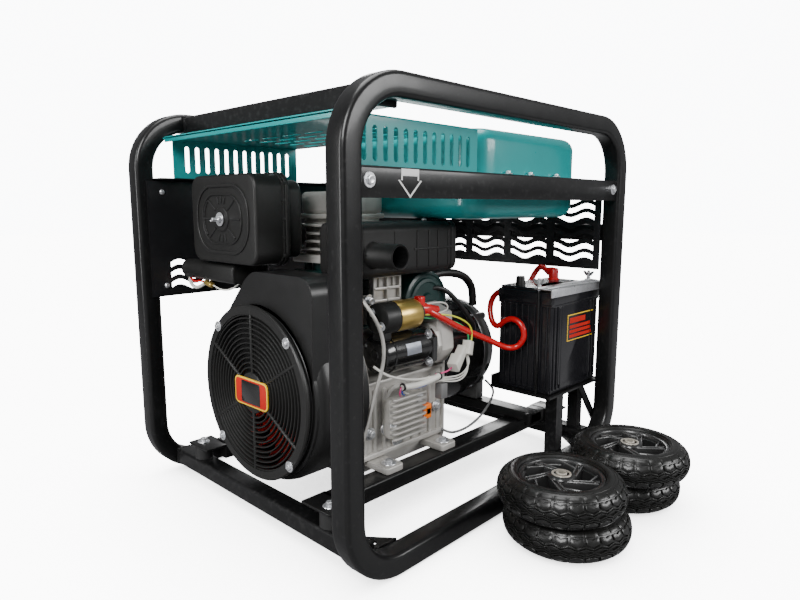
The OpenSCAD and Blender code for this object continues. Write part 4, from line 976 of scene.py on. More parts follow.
def filterSlab(x, depth, grow, corner, edge, steps=2):
    # slab behind x with the cover's outline, grown all round by grow
    top = filterSet["z"] + filterSet["h"] / 2 - shaftZ
    low = filterSet["z"] - filterSet["h"] / 2 - shaftZ
    outline = roundedOutline(-filterY[1] - grow, -filterY[0] + grow, low - grow, top + grow, corner, 8)
    prism(bm, outline, onShaft(x), (-1, 0, 0), depth, edge, 0, steps)


filterSlab(filterSet["x1"], 55.4, 0, 24, 5, 4)
filterSlab(filterSet["x1"], 5, 1.5, 25, 1.6)


def ovalBand(outerW, outerH, outerR, innerW, innerH, innerR, x0, depth, edge):
    # raised band between two rounded outlines on the cover's face
    part = bmesh.new()
    loops = []
    for w, h, r in ((outerW, outerH, outerR), (innerW, innerH, innerR)):
        verts = [part.verts.new((x * mm, y * mm, 0))
                 for x, y in roundedOutline(-w / 2, w / 2, -h / 2, h / 2, r, 12)]
        loops += [part.edges.new((verts[i], verts[(i + 1) % len(verts)])) for i in range(len(verts))]
    bmesh.ops.triangle_fill(part, use_beauty=True, use_dissolve=False, edges=loops)
    bmesh.ops.recalc_face_normals(part, faces=part.faces)
    up = bmesh.ops.extrude_face_region(part, geom=part.faces[:])["geom"]
    top = [v for v in up if isinstance(v, bmesh.types.BMVert)]
    bmesh.ops.translate(part, vec=(0, 0, depth * mm), verts=top)
    rims = [e for e in part.edges if all(v in top for v in e.verts) and len(e.link_faces) == 2
            and e.calc_face_angle(0) > 0.8]
    bevelEdges(part, rims, edge * mm, 3)
    addTo(bm, part, 0, facing((-1, 0, 0), at(x0, filterSet["y"], filterSet["z"])))


ovalBand(164, 116, 50, 152, 104, 45, -326.6, 3.2, 1.4)
ovalBand(124, 84, 40, 118, 78, 37, -326.8, 2.6, 1.0)
lathe(bm, [(0, 0), (21, 0), (21, 1.6), (19, 3.0), (13, 3.2), (11, 2.0), (0, 2.0)],
      at(-326.8, filterSet["y"], filterSet["z"]), (-1, 0, 0), 0, 48)
# slots round the boss drawn as near-black rods, painted shade in the openings: long ones at the sides,
# short ones above and below, one arc on the near side
for deg, near, far in ((0, 23, 55), (38, 24, 50), (-38, 24, 50), (180, 23, 55), (142, 24, 50),
                       (218, 24, 50), (72, 26, 38), (90, 26, 38), (108, 26, 38), (252, 26, 38),
                       (270, 26, 38), (288, 26, 38)):
    root = onCircle(near, deg, filterSet["y"], filterSet["z"])
    tip = onCircle(far, deg, filterSet["y"], filterSet["z"])
    rod(bm, at(-327.6, *root), at(-327.6, *tip), 1.7, 1, 0.6, 10)
for deg in range(-36, 37, 8):
    ends = [at(-327.8, filterSet["y"] + 56 * math.cos(math.radians(d)), filterSet["z"]
               + 38 * math.sin(math.radians(d) * 1.25)) for d in (deg, deg + 8)]
    rod(bm, ends[0], ends[1], 1.9, 1, 0.6, 10)
for z in (440, 468, 498, 528, 556):
    for y in (filterY[0] - 1.8, filterY[1] - 1.2):
        block(bm, at(-278, y, z - 3), at(-268, y + 3, z + 3), 0.8)
finishPiece("filterCover", bm, [plasticBlack, paintedHoleShade], "machine", ("air_filter_cover",))

bm = bmesh.new()
filterSlab(-264, 8, 3, 26, 2, 3)
filterSlab(-230, 34, -8, 22, 7, 4)
lathe(bm, [(0, 0), (22, 0), (22, 14), (24, 15), (24, 19), (22, 20), (22, 48), (24, 49), (24, 50), (0, 50)],
      at(-190, 50, 470), (-1, 0, 0), 0, 40)
rod(bm, at(-268, filterSet["y"], filterSet["z"]), at(-346, filterSet["y"], filterSet["z"]), 3, 1, 0.8, 20)
lathe(bm, [(0, 0), (17, 0), (17, 96), (18, 97), (18, 178), (16.5, 180), (14, 180), (14, 165), (0, 165)],
      at(-300, 64, 404), (0, 1, 0), 0, 40)
roundBlock(bm, at(-318, 64.5, 388), at(-262, 168, 421), 1, 9, 3, 0, 5)
rod(bm, at(-254, 82, 402), at(-254, 82, 440), 17, 0, 1, 32)
finishPiece("filterBase", bm, [plasticBlack, zinc], "machine", ("air_filter_base",))

bm = bmesh.new()
ring(bm, at(-330.3, filterSet["y"], filterSet["z"]), (-1, 0, 0), 3.2, 11.5, 2.4, 0, 0.5, 36)
lathe(bm, [(3.2, 2.8), (6.6, 2.8), (5.4, 6), (3.2, 6)], at(-330.3, filterSet["y"], filterSet["z"]),
      (-1, 0, 0), 0, 28)
for s in (-1, 1):
    part = bmesh.new()
    wing = [(4 * s, 3), (8 * s, 3.2), (15 * s, 8), (14.6 * s, 11), (11.5 * s, 12), (7 * s, 10), (4 * s, 6)]
    part.faces.new([part.verts.new(at(-330.3 - t, filterSet["y"] + y, filterSet["z"] - 1.2))
                    for y, t in wing])
    bmesh.ops.recalc_face_normals(part, faces=part.faces)
    bmesh.ops.solidify(part, geom=part.faces[:], thickness=2.4 * mm)
    bevelEdges(part, [e for e in part.edges if e.calc_face_angle(0) > 1.2], 0.6 * mm, 2)
    addTo(bm, part, 0)
finishPiece("wingNut", bm, [zinc], "wing_nut", ("filter_wing_nut",))
print("muffler and filter built")

# battery
batSet = {"x0": 180, "x1": 372, "y0": -256, "y1": -127, "z0": 150}
bm = bmesh.new()
roundBlock(bm, at(batSet["x0"] + 3, batSet["y0"] + 3, batSet["z0"]),
           at(batSet["x1"] - 3, batSet["y1"] - 3, 332), 2, 5, 3)
for s, y in ((-1, batSet["y0"]), (1, batSet["y1"] - 4)):
    for i in range(14):
        x = batSet["x0"] + 10 + i * 12.9
        if s < 0 and 2 < i < 11:
            continue
        roundBlock(bm, at(x, y, 158), at(x + 4, y + 4, 326), 2, 1.6, 1)
for x in (batSet["x0"] + 0.4, batSet["x1"] - 3.6):
    for i in range(8):
        y = batSet["y0"] + 12 + i * 14
        roundBlock(bm, at(x, y, 158), at(x + 3.2, y + 4, 326), 2, 1.4, 0.8)
roundBlock(bm, at(batSet["x0"] + 30, batSet["y0"] + 1, 166),
           at(batSet["x1"] - 32, batSet["y0"] + 5, 326), 1, 5, 1)
roundBlock(bm, at(batSet["x0"], batSet["y0"], 329), at(batSet["x1"], batSet["y1"], 354), 2, 5, 2.2)
roundBlock(bm, at(batSet["x0"] + 0.5, batSet["y0"] + 0.5, 325),
           at(batSet["x1"] - 0.5, batSet["y1"] - 0.5, 330), 2, 4, 1)
roundBlock(bm, at(batSet["x0"] + 4, batSet["y0"] + 4, 352), at(batSet["x1"] - 4, batSet["y1"] - 4, 360),
           2, 5, 1.6)
roundBlock(bm, at(batSet["x0"] + 46, -212, 358), at(batSet["x1"] - 66, -186, 360), 2, 8, 0.8)
# plain label: yellow edge, red bars on black
labelSet = {"x0": 240, "x1": 348, "z0": 250, "z1": 304, "bars": 3}
labelFace = batSet["y0"]
block(bm, at(labelSet["x0"], labelFace + 0.55, labelSet["z0"]),
      at(labelSet["x1"], labelFace + 1.2, labelSet["z1"]), 0.2, 1, 1)
block(bm, at(labelSet["x0"] + 2, labelFace + 0.35, labelSet["z0"] + 2),
      at(labelSet["x1"] - 2, labelFace + 1.2, labelSet["z1"] - 2), 0.2, 0, 1)
block(bm, at(labelSet["x0"] + 8, labelFace + 0.15, labelSet["z1"] - 18),
      at(labelSet["x1"] - 36, labelFace + 1, labelSet["z1"] - 7), 0.2, 2, 1)
for i in range(labelSet["bars"]):
    z = labelSet["z0"] + 6 + i * 9.5
    block(bm, at(labelSet["x0"] + 8, labelFace + 0.15, z),
          at(labelSet["x1"] - 9 - 3 * i, labelFace + 1, z + 6.5), 0.2, 2, 1)
finishPiece("batteryCase", bm, [batteryBlack, labelYellow, labelRed], "machine", ("battery_case",))

bm = bmesh.new()
lathe(bm, [(0, 0), (12, 0), (12, 3), (10.5, 5), (10, 23), (8.5, 25.6), (0, 26)], at(335, -165, 360.1),
      (0, 0, 1), 0, 32)
lathe(bm, [(0, 0), (10, 0), (9, 14), (8, 17.6), (0, 18)], at(214, -159, 360.1), (0, 0, 1), 1, 32)
finishPiece("batteryTerminals", bm, [capRed, plasticBlack], "machine", ("battery_terminals",))

clampSet = {"rods": (175.5, 376.5), "y": -226, "threads": 9}
bm = bmesh.new()
block(bm, at(168, -260, 360.1), at(384, -220, 362.4), 0.7)
block(bm, at(168, -260, 346), at(384, -256.6, 362.4), 0.9)
roundBlock(bm, at(176, -246, 361.6), at(376, -234, 364.4), 0, 1.2, 0.8)
for x in clampSet["rods"]:
    rod(bm, at(x, clampSet["y"], 149), at(x, clampSet["y"], 358), 3, 1, 0.8, 20)
    rod(bm, at(x, clampSet["y"], 356), at(x, clampSet["y"], 382), 3, 0, 0.8, 20)
    for n in range(clampSet["threads"]):
        ring(bm, at(x, clampSet["y"], 366 + n * 1.7), (0, 0, 1), 2.6, 3.25, 0.8, 0, 0.2, 16)
    hexHead(bm, at(x, clampSet["y"], 362.4), (0, 0, 1), 8, 5, 0)
    for s in (-1, 1):
        part = bmesh.new()
        wing = [(2, 370), (6, 370), (12, 378), (11, 381), (7, 380), (3, 376)]
        part.faces.new([part.verts.new(at(x - 1, clampSet["y"] + s * y, z)) for y, z in wing])
        bmesh.ops.recalc_face_normals(part, faces=part.faces)
        bmesh.ops.solidify(part, geom=part.faces[:], thickness=2 * mm)
        addTo(bm, part, 0)
finishPiece("batteryClamp", bm, [zinc, glossBlack], "machine", ("battery_clamp",))
print("battery built")

# bolts
boltSet = {"railX": (-336, 336), "grille": (45, 135, 225, 315), "footX": (-170, -30), "panelX": (-340, 340)}
bm = bmesh.new()
for s in (-1, 1):
    for x in boltSet["railX"]:
        lathe(bm, [(0, 0), (10, 0), (10, 0.8), (9.4, 1.3), (0, 1.3)], at(x, s * 291, 552), (0, s, 0), 0, 28)
        hexHead(bm, at(x, s * 292, 552), (0, s, 0), 11, 3.4, 0, False, 0.3)
for deg in boltSet["grille"]:
    y, z = onCircle(139, deg)
    hexHead(bm, at(-329.4, y, z), (-1, 0, 0), 9, 3.4, 0, True, 0.2)
for s in (-1, 1):
    for x in boltSet["footX"]:
        hexHead(bm, at(x, s * 158, 92), (0, 0, 1), 13, 6, 0)
for x in boltSet["panelX"]:
    for z in (372, 545):
        lathe(bm, [(0, 0), (5, 0), (4.6, 2), (3, 3.6), (0, 4)], at(x, 259.5, z), (0, -1, 0), 0, 20)
lathe(bm, [(0, 0), (9, 0), (9, 5), (8.4, 6), (0, 6)], at(-110, 128, 230), (0, 1, 0), 0, 28)
rod(bm, at(-110, 134, 230), at(-110, 145, 230), 4, 0, 0.5, 20)
finishPiece("frameBolts", bm, [zinc], "machine", ("frame_bolts",))

# panel fittings
fitSet = {"face": 261.5, "z": 488, "keyX": -280, "knobX": -150, "meterX": (-210, 20), "socketX": (90, 210),
          "dots": 11, "ticks": 9, "grips": 24}
panelFace = fitSet["face"]
bm = bmesh.new()
lathe(bm, [(0, 0), (15, 0), (15, 3), (13, 5), (12, 9.4), (10.5, 10), (0, 10)],
      at(fitSet["keyX"], panelFace, fitSet["z"]), (0, 1, 0), 2, 36)
lathe(bm, [(0, 0), (30, 0), (30, 4), (28.5, 6), (0, 6)], at(fitSet["knobX"], panelFace, fitSet["z"]),
      (0, 1, 0), 0, 48)
rod(bm, at(fitSet["knobX"], panelFace + 5, fitSet["z"]),
    at(fitSet["knobX"], panelFace + 16, fitSet["z"]), 5, 2)
for i in range(fitSet["dots"]):
    x, z = onCircle(26.6, 225 - 27 * i, fitSet["knobX"], fitSet["z"])
    rod(bm, at(x, panelFace + 5.6, z), at(x, panelFace + 6.1, z), 0.9, 1, 0.1, 10)
for z0, z1 in ((452, 478), (498, 524)):
    roundBlock(bm, at(-62, panelFace, z0), at(-18, panelFace + 14, z1), 1, 2, 1.2)
block(bm, at(-62, panelFace, 476), at(-18, panelFace + 3, 500), 0.5)
for x in fitSet["meterX"]:
    roundBlock(bm, at(x - 24, panelFace, 420), at(x + 24, panelFace + 7, 468), 1, 3, 1.4)
    roundBlock(bm, at(x - 20, panelFace + 6, 428), at(x + 20, panelFace + 7.5, 465), 1, 1.5, 0.3, 3)
    for i in range(fitSet["ticks"]):
        near, far = onCircle(24, 140 - 12.5 * i, x, 433), onCircle(27, 140 - 12.5 * i, x, 433)
        rod(bm, at(near[0], panelFace + 7.5, near[1]), at(far[0], panelFace + 7.5, far[1]), 0.35, 0, 0.1, 6)
    rod(bm, at(x, panelFace + 7.6, 434), at(x - 12, panelFace + 7.6, 454), 0.45, 0, 0.1, 6)
    roundBlock(bm, at(x - 20, panelFace + 6.6, 422), at(x + 20, panelFace + 8, 432), 1, 1, 0.5)
lathe(bm, [(0, 0), (6, 0), (6, 2), (4.6, 4.4), (0, 5)], at(-280, panelFace, 462), (0, 1, 0), 4, 24)
for x in fitSet["socketX"]:
    for lo, hi in (((x - 31, 439), (x + 31, 445)), ((x - 31, 489), (x + 31, 501))):
        block(bm, at(lo[0], panelFace, lo[1]), at(hi[0], panelFace + 14, hi[1]), 1, 5)
    for x0 in (x - 31, x + 22):
        block(bm, at(x0, panelFace, 444), at(x0 + 9, panelFace + 14, 490), 1, 5)
    block(bm, at(x - 23, panelFace, 444), at(x + 23, panelFace + 4.6, 490), 0.4, 5)
    ring(bm, at(x, panelFace + 4, 467), (0, 1, 0), 20, 23, 9.6, 5, 0.6, 40)
    # pin holes as thin near-black discs: painted shade
    for deg in (90, 210, 330):
        pinX, pinZ = onCircle(11, deg, x, 467)
        rod(bm, at(pinX, panelFace + 5, pinZ), at(pinX, panelFace + 5.3, pinZ), 2.6, 6, 0.05, 12)
    for s in (-1, 1):
        block(bm, at(x + s * 26 - 3, panelFace + 13, 493), at(x + s * 26 + 3, panelFace + 22, 501), 1, 5)
finishPiece("panelFittings", bm, [panelPlastic, labelWhite, zinc, glassPale, lampGreen, socketBlue,
                                  paintedHoleShade], "machine", ("panel_fittings",))

for n, x in enumerate(fitSet["socketX"], 1):
    bm = bmesh.new()
    roundBlock(bm, at(x - 29, panelFace + 14.4, 439), at(x + 29, panelFace + 17.8, 491), 1, 7, 1.4, 0, 6)
    lathe(bm, [(0, 0), (21, 0), (19, 2), (17, 2.6), (0, 2.6)], at(x, panelFace + 17.4, 466), (0, 1, 0),
          0, 40)
    block(bm, at(x - 22, panelFace + 14.4, 489), at(x + 22, panelFace + 20.6, 496), 1)
    rod(bm, at(x - 22.4, panelFace + 19, 497), at(x + 22.4, panelFace + 19, 497), 3.9, 0)
    block(bm, at(x - 9, panelFace + 16, 439), at(x + 9, panelFace + 20, 443), 1.4)
    finishPiece("socketFlap%d" % n, bm, [socketBlue], "socket_flap_%d" % n, ("socket_flap_%d" % n,))

bm = bmesh.new()
lathe(bm, [(5.3, 0), (22, 0), (24, 1.4), (24, 4.4), (21, 5.6), (19, 8), (17.6, 19), (15.5, 21.4),
           (0, 21.6)], at(fitSet["knobX"], panelFace + 6.4, fitSet["z"]), (0, 1, 0), 0, 56)
for i in range(fitSet["grips"]):
    x, z = onCircle(18.4, 360 * i / fitSet["grips"], fitSet["knobX"], fitSet["z"])
    rod(bm, at(x, panelFace + 13, z), at(x, panelFace + 26, z), 1.1, 0, 0.4, 8)
block(bm, at(-152, panelFace + 26, 489), at(-148, panelFace + 30.6, 505), 1, 1)
finishPiece("currentKnob", bm, [plasticBlack, labelWhite], "current_knob", ("current_knob",))

bm = bmesh.new()
rod(bm, at(-55.8, panelFace + 9, 488), at(-24.2, panelFace + 9, 488), 8.6, 0)
roundBlock(bm, at(-50, panelFace + 12, 486), at(-30, panelFace + 30, 492), 1, 2.4, 1.6)
finishPiece("breakerToggle", bm, [capRed], "breaker_toggle", ("breaker_toggle",))

bm = bmesh.new()
lathe(bm, [(0, 0), (9, 0), (9, 2.6), (8, 3.6), (0, 3.6)],
      at(fitSet["keyX"], panelFace + 10.4, fitSet["z"]), (0, 1, 0), 0, 28)
roundBlock(bm, at(-282, panelFace + 13, 475), at(-278, panelFace + 32, 501), 0, 5, 1)
finishPiece("startKey", bm, [zinc], "start_key", ("start_key",))

postSet = {"x": (-120, -30), "z": 392, "threads": 9}
bm = bmesh.new()
for x in postSet["x"]:
    lathe(bm, [(6, 8), (16, 8), (18, 6.6), (20, 3), (20, 0), (6, 0)], at(x, panelFace, postSet["z"]),
          (0, 1, 0), 1, 40)
    rod(bm, at(x, panelFace + 4, postSet["z"]), at(x, panelFace + 34, postSet["z"]), 5.6, 0, 0.8, 24)
    for n in range(postSet["threads"]):
        ring(bm, at(x, panelFace + 15.5 + n * 2, postSet["z"]), (0, 1, 0), 4.8, 6, 1, 0, 0.45, 24)
    hexHead(bm, at(x, panelFace + 8, postSet["z"]), (0, 1, 0), 17, 6.5, 0, False)
finishPiece("weldTerminals", bm, [brass, plasticBlack], "machine", ("weld_terminals",))

# injection pump side
pumpSet = {"x": -40, "studs": ((-53, 168), (-27, 168), (-53, 224), (-27, 224))}
bm = bmesh.new()
roundBlock(bm, at(-60, 128, 160), at(-20, 150, 232), 1, 6, 3)
lathe(bm, [(0, 0), (11, 0), (11, 6), (9, 8), (9, 24), (7, 26), (7, 31), (0, 31)],
      at(pumpSet["x"], 139, 231), (0, 0, 1), 1, 28)
lathe(bm, [(0, 0), (12, 0), (12, 4), (10, 5.6), (0, 5.6)], at(pumpSet["x"], 149.6, 184), (0, 1, 0), 1, 32)
for x, z in pumpSet["studs"]:
    hexHead(bm, at(x, 150, z), (0, 1, 0), 7, 3.4, 1, False)
finishPiece("injectionPump", bm, [castAlloy, zinc], "machine", ("injection_pump",))
tube("injectionPipe", [
    (-40, 139, 258), (-40, 139, 300), (-46, 134, 360), (-58, 118, 410), (-60, 100, 427),
    (-60, 78.6, 427)
], 3, zinc)
dipSet = {"x": -150, "z": 130}
bm = bmesh.new()
lathe(bm, [(5, 0), (14, 0), (14, 6), (12, 8.7), (5, 8.7), (5, 0)], at(dipSet["x"], 128.4, dipSet["z"]),
      (0, 1, 0), 0, 36)
lathe(bm, [(0, 0), (8.8, 0), (8.8, 36), (0, 36)], at(dipSet["x"], 92.4, dipSet["z"]), (0, 1, 0), 0, 28)
rod(bm, at(dipSet["x"], 60.5, dipSet["z"]), at(dipSet["x"], 93, dipSet["z"]), 2.8, 1)
roundBlock(bm, at(-161, 135, 127), at(-139, 142.8, 133), 1, 2.6, 1.4)
finishPiece("dipstick", bm, [orange, steel], "dipstick", ("dipstick",))
print("panel built")

# wheels
# lug outlines: share of one pitch, then degrees up from the equator
tyreSet = {"centre": 73, "deep": 23.2, "half": 27.6, "lugs": 26,
           "lugLow": ((0.07, 25), (0.28, 20.5), (0.5, 17), (0.72, 20.5), (0.93, 25)),
           "lugTop": ((0.07, 42), (0.28, 42), (0.5, 36), (0.72, 42), (0.93, 42))}


def onTyre(lean, turn, lift=0.0):
    # point on the rounded tread, lean is degrees up from the equator
    a = math.radians(lean)
    r = tyreSet["centre"] + (tyreSet["deep"] + lift) * math.cos(a)
    return Vector((r * math.cos(turn), r * math.sin(turn),
                   (tyreSet["half"] + lift * 0.2) * math.sin(a))) * mm


def treadPatch(bm, centre, rows, lift, deep, edge):
    # raised block from rows of (lean, turn) points
    part = bmesh.new()
    grid = [[part.verts.new(onTyre(lean, turn, lift)) for lean, turn in row] for row in rows]
    for g0, g1 in zip(grid, grid[1:]):
        for n in range(len(g0) - 1):
            part.faces.new((g0[n], g0[n + 1], g1[n + 1], g1[n]))
    bmesh.ops.recalc_face_normals(part, faces=part.faces)
    bmesh.ops.solidify(part, geom=part.faces[:], thickness=deep * mm)
    bevelEdges(part, [e for e in part.edges if e.calc_face_angle(0) > 1.0], edge * mm, 2)
    addTo(bm, part, 0, Matrix.Translation(centre))


def treadRow(bm, centre, start):
    # one pitch of the tread: shoulder blocks, notched lugs and zigzag ribs on both sides
    pitch = 2 * math.pi / tyreSet["lugs"]
    for s in (-1, 1):
        across = [start + pitch * u for u in (0.05, 0.35, 0.65, 0.95)]
        treadPatch(bm, centre, [[(s * lean, u) for u in across] for lean in (45, 54, 64)], 2.4, 3.4, 0.7)
        low = [(s * v, start + pitch * u) for u, v in tyreSet["lugLow"]]
        top = [(s * v, start + pitch * u) for u, v in tyreSet["lugTop"]]
        mid = [((a[0] + b[0]) / 2, a[1]) for a, b in zip(low, top)]
        treadPatch(bm, centre, [low, mid, top], 3.5, 4.4, 0.8)
        for u0, v0, u1, v1 in ((0.0, 15, 0.5, 7), (0.5, 7, 1.0, 15)):
            for gap in (0, 1):
                band = (0, 4.4) if gap == 0 else (-7, -3.4)
                if gap and v0 + band[0] < -9:
                    continue
                treadPatch(bm, centre, [[(s * (v0 + b), start + pitch * u0),
                                         (s * (v1 + b), start + pitch * u1)] for b in band], 3.4, 4.2,
                           0.7)


def tyrePiece(number):
    lo, hi = boxOf("tyre_%d" % number)
    centre = (lo + hi) / 2
    side = [(tyreSet["centre"] + tyreSet["deep"] * math.cos(math.radians(a)),
             tyreSet["half"] * math.sin(math.radians(a))) for a in range(-96, 97, 6)]
    bm = bmesh.new()
    lathe(bm, [(66, -17), (66.3, -23)] + side + [(66.3, 23), (66, 17), (66, -17)], centre, (0, 0, 1), 0,
          104)
    for s in (-1, 1):
        for r in (69.6, 80):
            z = 26.8 if r < 75 else 26.2
            ring(bm, centre + Vector((0, 0, s * (z - 1.4) * mm)), (0, 0, s), r - 0.8, r + 0.8, 2, 0, 0.6,
                 72)
    for i in range(tyreSet["lugs"]):
        treadRow(bm, centre, 2 * math.pi * i / tyreSet["lugs"] + number * 0.31)
    finishPiece("tyre%d" % number, bm, [tyreRubber], "wheel_%d" % number, ("tyre_%d" % number,),
                38)


rimSet = {"spokes": 5, "top": 20.6, "blade": [(0, -20.5), (55.5, -14.5), (57.6, -4), (10, -12)],
          "rib": [(41, -6), (44.5, -6), (55, 16), (53, 21)]}


def rimPiece(number):
    lo, hi = boxOf("rim_%d" % number)
    centre = (lo + hi) / 2
    tall = rimSet["top"]
    bm = bmesh.new()
    lathe(bm, [(58.5, -14), (59, -20), (60, -21.8), (62, -22.6), (65.2, -22.4), (65.9, -21), (65.9, 21),
               (65.2, 22.4), (62, 22.6), (60, 21.8), (59, 20), (58.5, 14), (56.6, 13), (56.6, -13),
               (58.5, -14)], centre, (0, 0, 1), 0, 80)
    lathe(bm, [(10.3, -20), (12.2, -20), (12.6, -23.6), (16, -23.6), (21, -22.2), (22, -20), (19, -15),
               (19, 15), (22, 20), (21, 22.2), (16, 23.6), (12.6, 23.6), (12.2, 20), (10.3, 20),
               (10.3, -20)], centre, (0, 0, 1), 0, 48)
    for s in (-1, 1):
        ring(bm, centre + Vector((0, 0, s * 22.3 * mm)), (0, 0, s), 12.3, 15.4, 2.4, 1, 0.5, 48)
    for i in range(rimSet["spokes"]):
        a = 2 * math.pi * i / rimSet["spokes"] + number * 0.7
        turn = Matrix.Translation(centre) @ Matrix.Rotation(a, 4, "Z")
        for shape, z in ((rimSet["blade"], tall - 2.5), (rimSet["rib"], tall - 1.5)):
            part = bmesh.new()
            face = part.faces.new([part.verts.new((x * mm, y * mm, -z * mm)) for x, y in shape])
            pull(part, face, (0, 0, 2 * z * mm))
            bevelEdges(part, part.edges[:], 0.8 * mm, 2)
            addTo(bm, part, 0, turn)
        for s in (-1, 1):
            # edge ridges in the lighter rim nylon: a painted highlight along the blade edges
            for p0, p1 in (((0, -19.7), (56, -13.6)), ((11, -12.2), (57, -5)), ((42.6, -6), (53.6, 18.5))):
                start, end = (turn @ Vector((p[0] * mm, p[1] * mm, s * (tall - 1.6) * mm))
                              for p in (p0, p1))
                rod(bm, start, end, 1.4, 2, 0.5, 12)
            boss = turn @ Vector((50.5 * mm, -9.6 * mm, s * (tall - 3) * mm))
            lathe(bm, [(0, 0), (4, 0), (4, 2), (3.2, 3), (2, 3.4), (0, 3.4)], boss, (0, 0, s), 0, 20)
    finishPiece("rim%d" % number, bm, [rimGloss, bearingSteel, rimEdgeHighlight], "wheel_%d" % number,
                ("rim_%d" % number,), 34)


for number in (1, 2, 3, 4):
    tyrePiece(number)
    rimPiece(number)
bm = bmesh.new()
for number in (1, 2, 3, 4):
    lo, hi = boxOf("rim_%d" % number)
    centre = (lo + hi) / 2
    for s in (-1, 1):
        ring(bm, centre + Vector((0, 0, s * 20 * mm)), (0, 0, s), 6.2, 8.4, 5.9, 0, 0.6, 36)
        ring(bm, centre + Vector((0, 0, s * 17 * mm)), (0, 0, s), 8.3, 10, 3, 1, 0.2, 36)
    ring(bm, centre + Vector((0, 0, -20.5 * mm)), (0, 0, 1), 6, 9, 41, 1, 0.4, 28)
finishPiece("wheelSleeves", bm, [bearingSteel, plasticBlack], "machine", ("wheel_sleeves",))
print("wheels built")

# leads and conduits
leadSet = {"red": 6, "thin": 2.5, "arch": 8.5, "hose": 5}
tube("archConduit", [
    (-8, -52, 301), (-2, -52, 340), (20, -54, 372), (60, -56, 386), (110, -58, 386),
    (152, -60, 376), (178, -60, 354), (184, -60, 330), (184, -60, 310)
], leadSet["arch"], hoseBlack, nodes=("conduits",))
tube("sideHose", [
    (-24, -80, 301), (-20, -82, 340), (-4, -96, 369), (28, -112, 366), (64, -120, 332),
    (98, -122, 296), (121, -114, 272), (127, -102, 264)
], leadSet["hose"], hoseBlack)
tube("senseLead", [
    (206, -81, 144), (208, -100, 132), (190, -116, 122), (140, -130, 100), (80, -138, 86),
    (24, -142, 88), (4, -138, 96), (0, -129.6, 100)
], leadSet["thin"], wireGrey)
tube("redLead", [
    (-80.6, -147, 343), (-68, -150, 341), (-48, -160, 328), (15, -164, 296), (105, -166, 260),
    (145, -173, 240), (165, -188, 240), (169, -202, 262), (167, -197, 286), (165, -178, 298),
    (166, -156, 292), (168, -138, 274), (169, -121, 283), (173, -112, 314), (192, -110, 338),
    (235, -112, 346), (290, -112, 346), (324, -113, 350), (336, -117, 372), (336, -130, 387),
    (335, -142, 385), (335, -151, 377)
], leadSet["red"], leadRed, nodes=("red_lead",))
bm = bmesh.new()
lathe(bm, [(6, 0), (9, 0), (10.5, 4), (10.5, 20), (8, 30), (6.6, 44), (6, 44)], at(-84, -146.4, 344),
      (1, -0.12, -0.14), 0, 28)
roundBlock(bm, at(-92, -156, 332), at(-74, -138, 366), 2, 7, 3)
lathe(bm, [(6, 0), (9.5, 1), (10.5, 5), (9, 13), (6.2, 17), (6, 17)], at(335, -165, 377),
      (0, 0.96, 0.06), 0, 28)
finishPiece("redBoots", bm, [leadRed], "machine")

# cast lip that follows the back of the blower
tube("shroudLip", [
    (-207, -118, 384), (-205, -146, 362), (-186, -154, 326), (-178, -156, 296), (-180, -156, 262),
    (-196, -154, 222), (-207, -150, 180), (-208, -134, 128), (-208, -110, 94)
], 3.2, castAlloy)

# harness hung between the solenoid, the starter and the regulator
harnessSet = {"wire": 1.5}
tube("wireYellow", [
    (-74, -150, 332), (-40, -164, 332), (6, -172, 318), (44, -170, 292), (40, -166, 264)
], harnessSet["wire"], wireYellow)
tube("wireGreen", [
    (-74, -146, 326), (-36, -158, 322), (8, -166, 308), (36, -166, 286), (34, -164, 262)
], harnessSet["wire"], wireGreen)
tube("wireWhiteTop", [
    (-72, -150, 350), (-50, -160, 354), (-26, -164, 348), (-28, -164, 334), (-56, -156, 332)
], harnessSet["wire"], wireWhite)
tube("wireRed", [
    (-56, -162, 224), (-36, -168, 224), (-16, -168, 230), (-4, -166, 236)
], harnessSet["wire"], wirePink)
tube("wireBlue", [
    (-148, -164, 216), (-120, -170, 213), (-84, -171, 214), (-54, -168, 220)
], harnessSet["wire"], wireBlue)
for n, (drop, out) in enumerate(((0, 0), (5, 3), (10, 5))):
    tube("wireLoop%d" % n, [
        (30, -160, 250), (46 - out, -162, 236 - drop), (26, -166, 214 - drop),
        (-10, -168, 210 - drop), (-52, -166, 218 - drop * 0.5)
    ], harnessSet["wire"], wireWhite)
    tube("wireDown%d" % n, [
        (-146 + n * 4, -164, 220), (-152 + n * 5, -166, 212), (-146 + n * 8, -160, 204),
        (-132 + n * 10, -150, 198)
    ], 1.3, (wirePink, wireBlue, wireWhite)[n])
tube("wireLong", [
    (-196, -150, 262), (-180, -158, 246), (-140, -166, 232), (-96, -168, 224), (-54, -166, 222)
], 2.2, wireWhite)
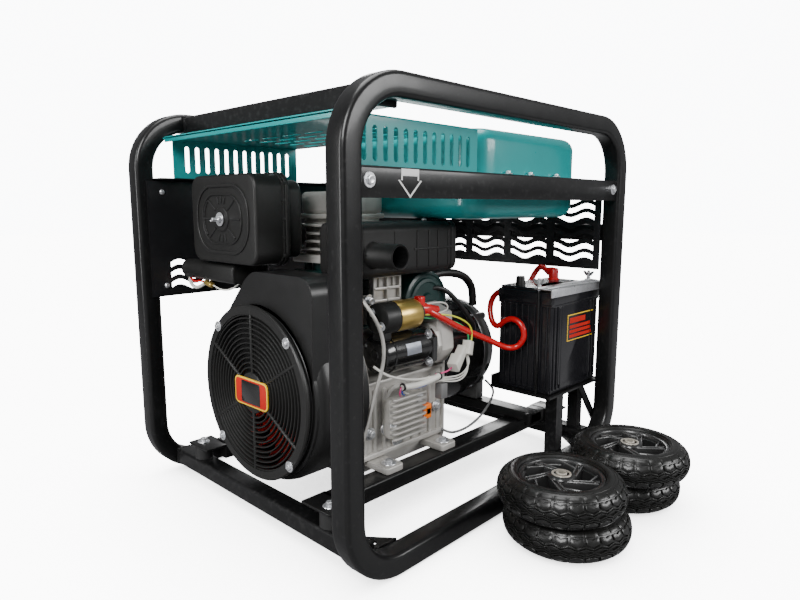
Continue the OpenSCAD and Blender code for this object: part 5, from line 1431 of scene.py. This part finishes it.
tube("wireSleeve", [
    (-146, -165, 220), (-120, -168, 217), (-84, -168, 217), (-50, -166, 221)
], 5.4, wireWhite, sides=5)
bm = bmesh.new()
for x in (-146, -52):
    ring(bm, at(x, -166, 220), (1, 0, 0.05), 4.6, 6.6, 4, 1, 0.6, 20)
roundBlock(bm, Vector((-0.022, -0.009, -0.008)), Vector((0.022, 0.009, 0.008)), 0, 2.4, 1.2, 0, 3,
           facing((0.25, -0.95, 0.05), at(6, -166, 246), 0.62))
roundBlock(bm, Vector((-0.014, -0.011, -0.0095)), Vector((0.012, 0.011, 0.0095)), 0, 2, 1, 0, 3,
           facing((0.25, -0.95, 0.05), at(-6, -167, 238), 0.62))
roundBlock(bm, Vector((-0.013, -0.009, -0.008)), Vector((0.013, 0.009, 0.008)), 0, 2, 1, 0, 3,
           facing((0.25, -0.95, 0.05), at(34, -164, 258), 1.2))
block(bm, at(-46, -168, 176), at(-28, -152, 204), 2, 2)
finishPiece("harnessClips", bm, [whiteNylon, plasticBlack, wireGrey], "machine")

# sheathed leads under the air filter
tube("frontLeadWhite", [
    (-300, 248, 392), (-304, 240, 376), (-306, 214, 368), (-304, 190, 376), (-302, 178, 384),
    (-300, 166, 380)
], 3.2, wireWhite)
tube("frontLeadRed", [
    (-300, 246, 396), (-306, 232, 384), (-306, 214, 380), (-304, 196, 384), (-302, 180, 380)
], 1.8, leadRed)
tube("frontLeadPlain", [
    (-302, 156, 378), (-304, 132, 372), (-300, 104, 374), (-296, 84, 384), (-292, 70, 398)
], 1.6, wireWhite)
bm = bmesh.new()
rod(bm, at(-303, 182, 382), at(-303, 158, 378), 5.4, 0, 1.4, 20)
finishPiece("frontPlug", bm, [brass], "machine")
print("leads built")

# parts kept from the frame, with finishes
keptLooks = {"gussets": coatBlack, "rubber_mounts": rubberBlack, "battery_tray": coatBlack,
             "fuel_cock": brass, "fuel_cock_lever": capRed, "crankshaft": steel, "speed_lever": zinc,
             "control_panel": panelBlack, "rear_panel": panelBlack}
for node, look in keptLooks.items():
    for slot in frame["nodes"][node].material_slots:
        slot.material = look
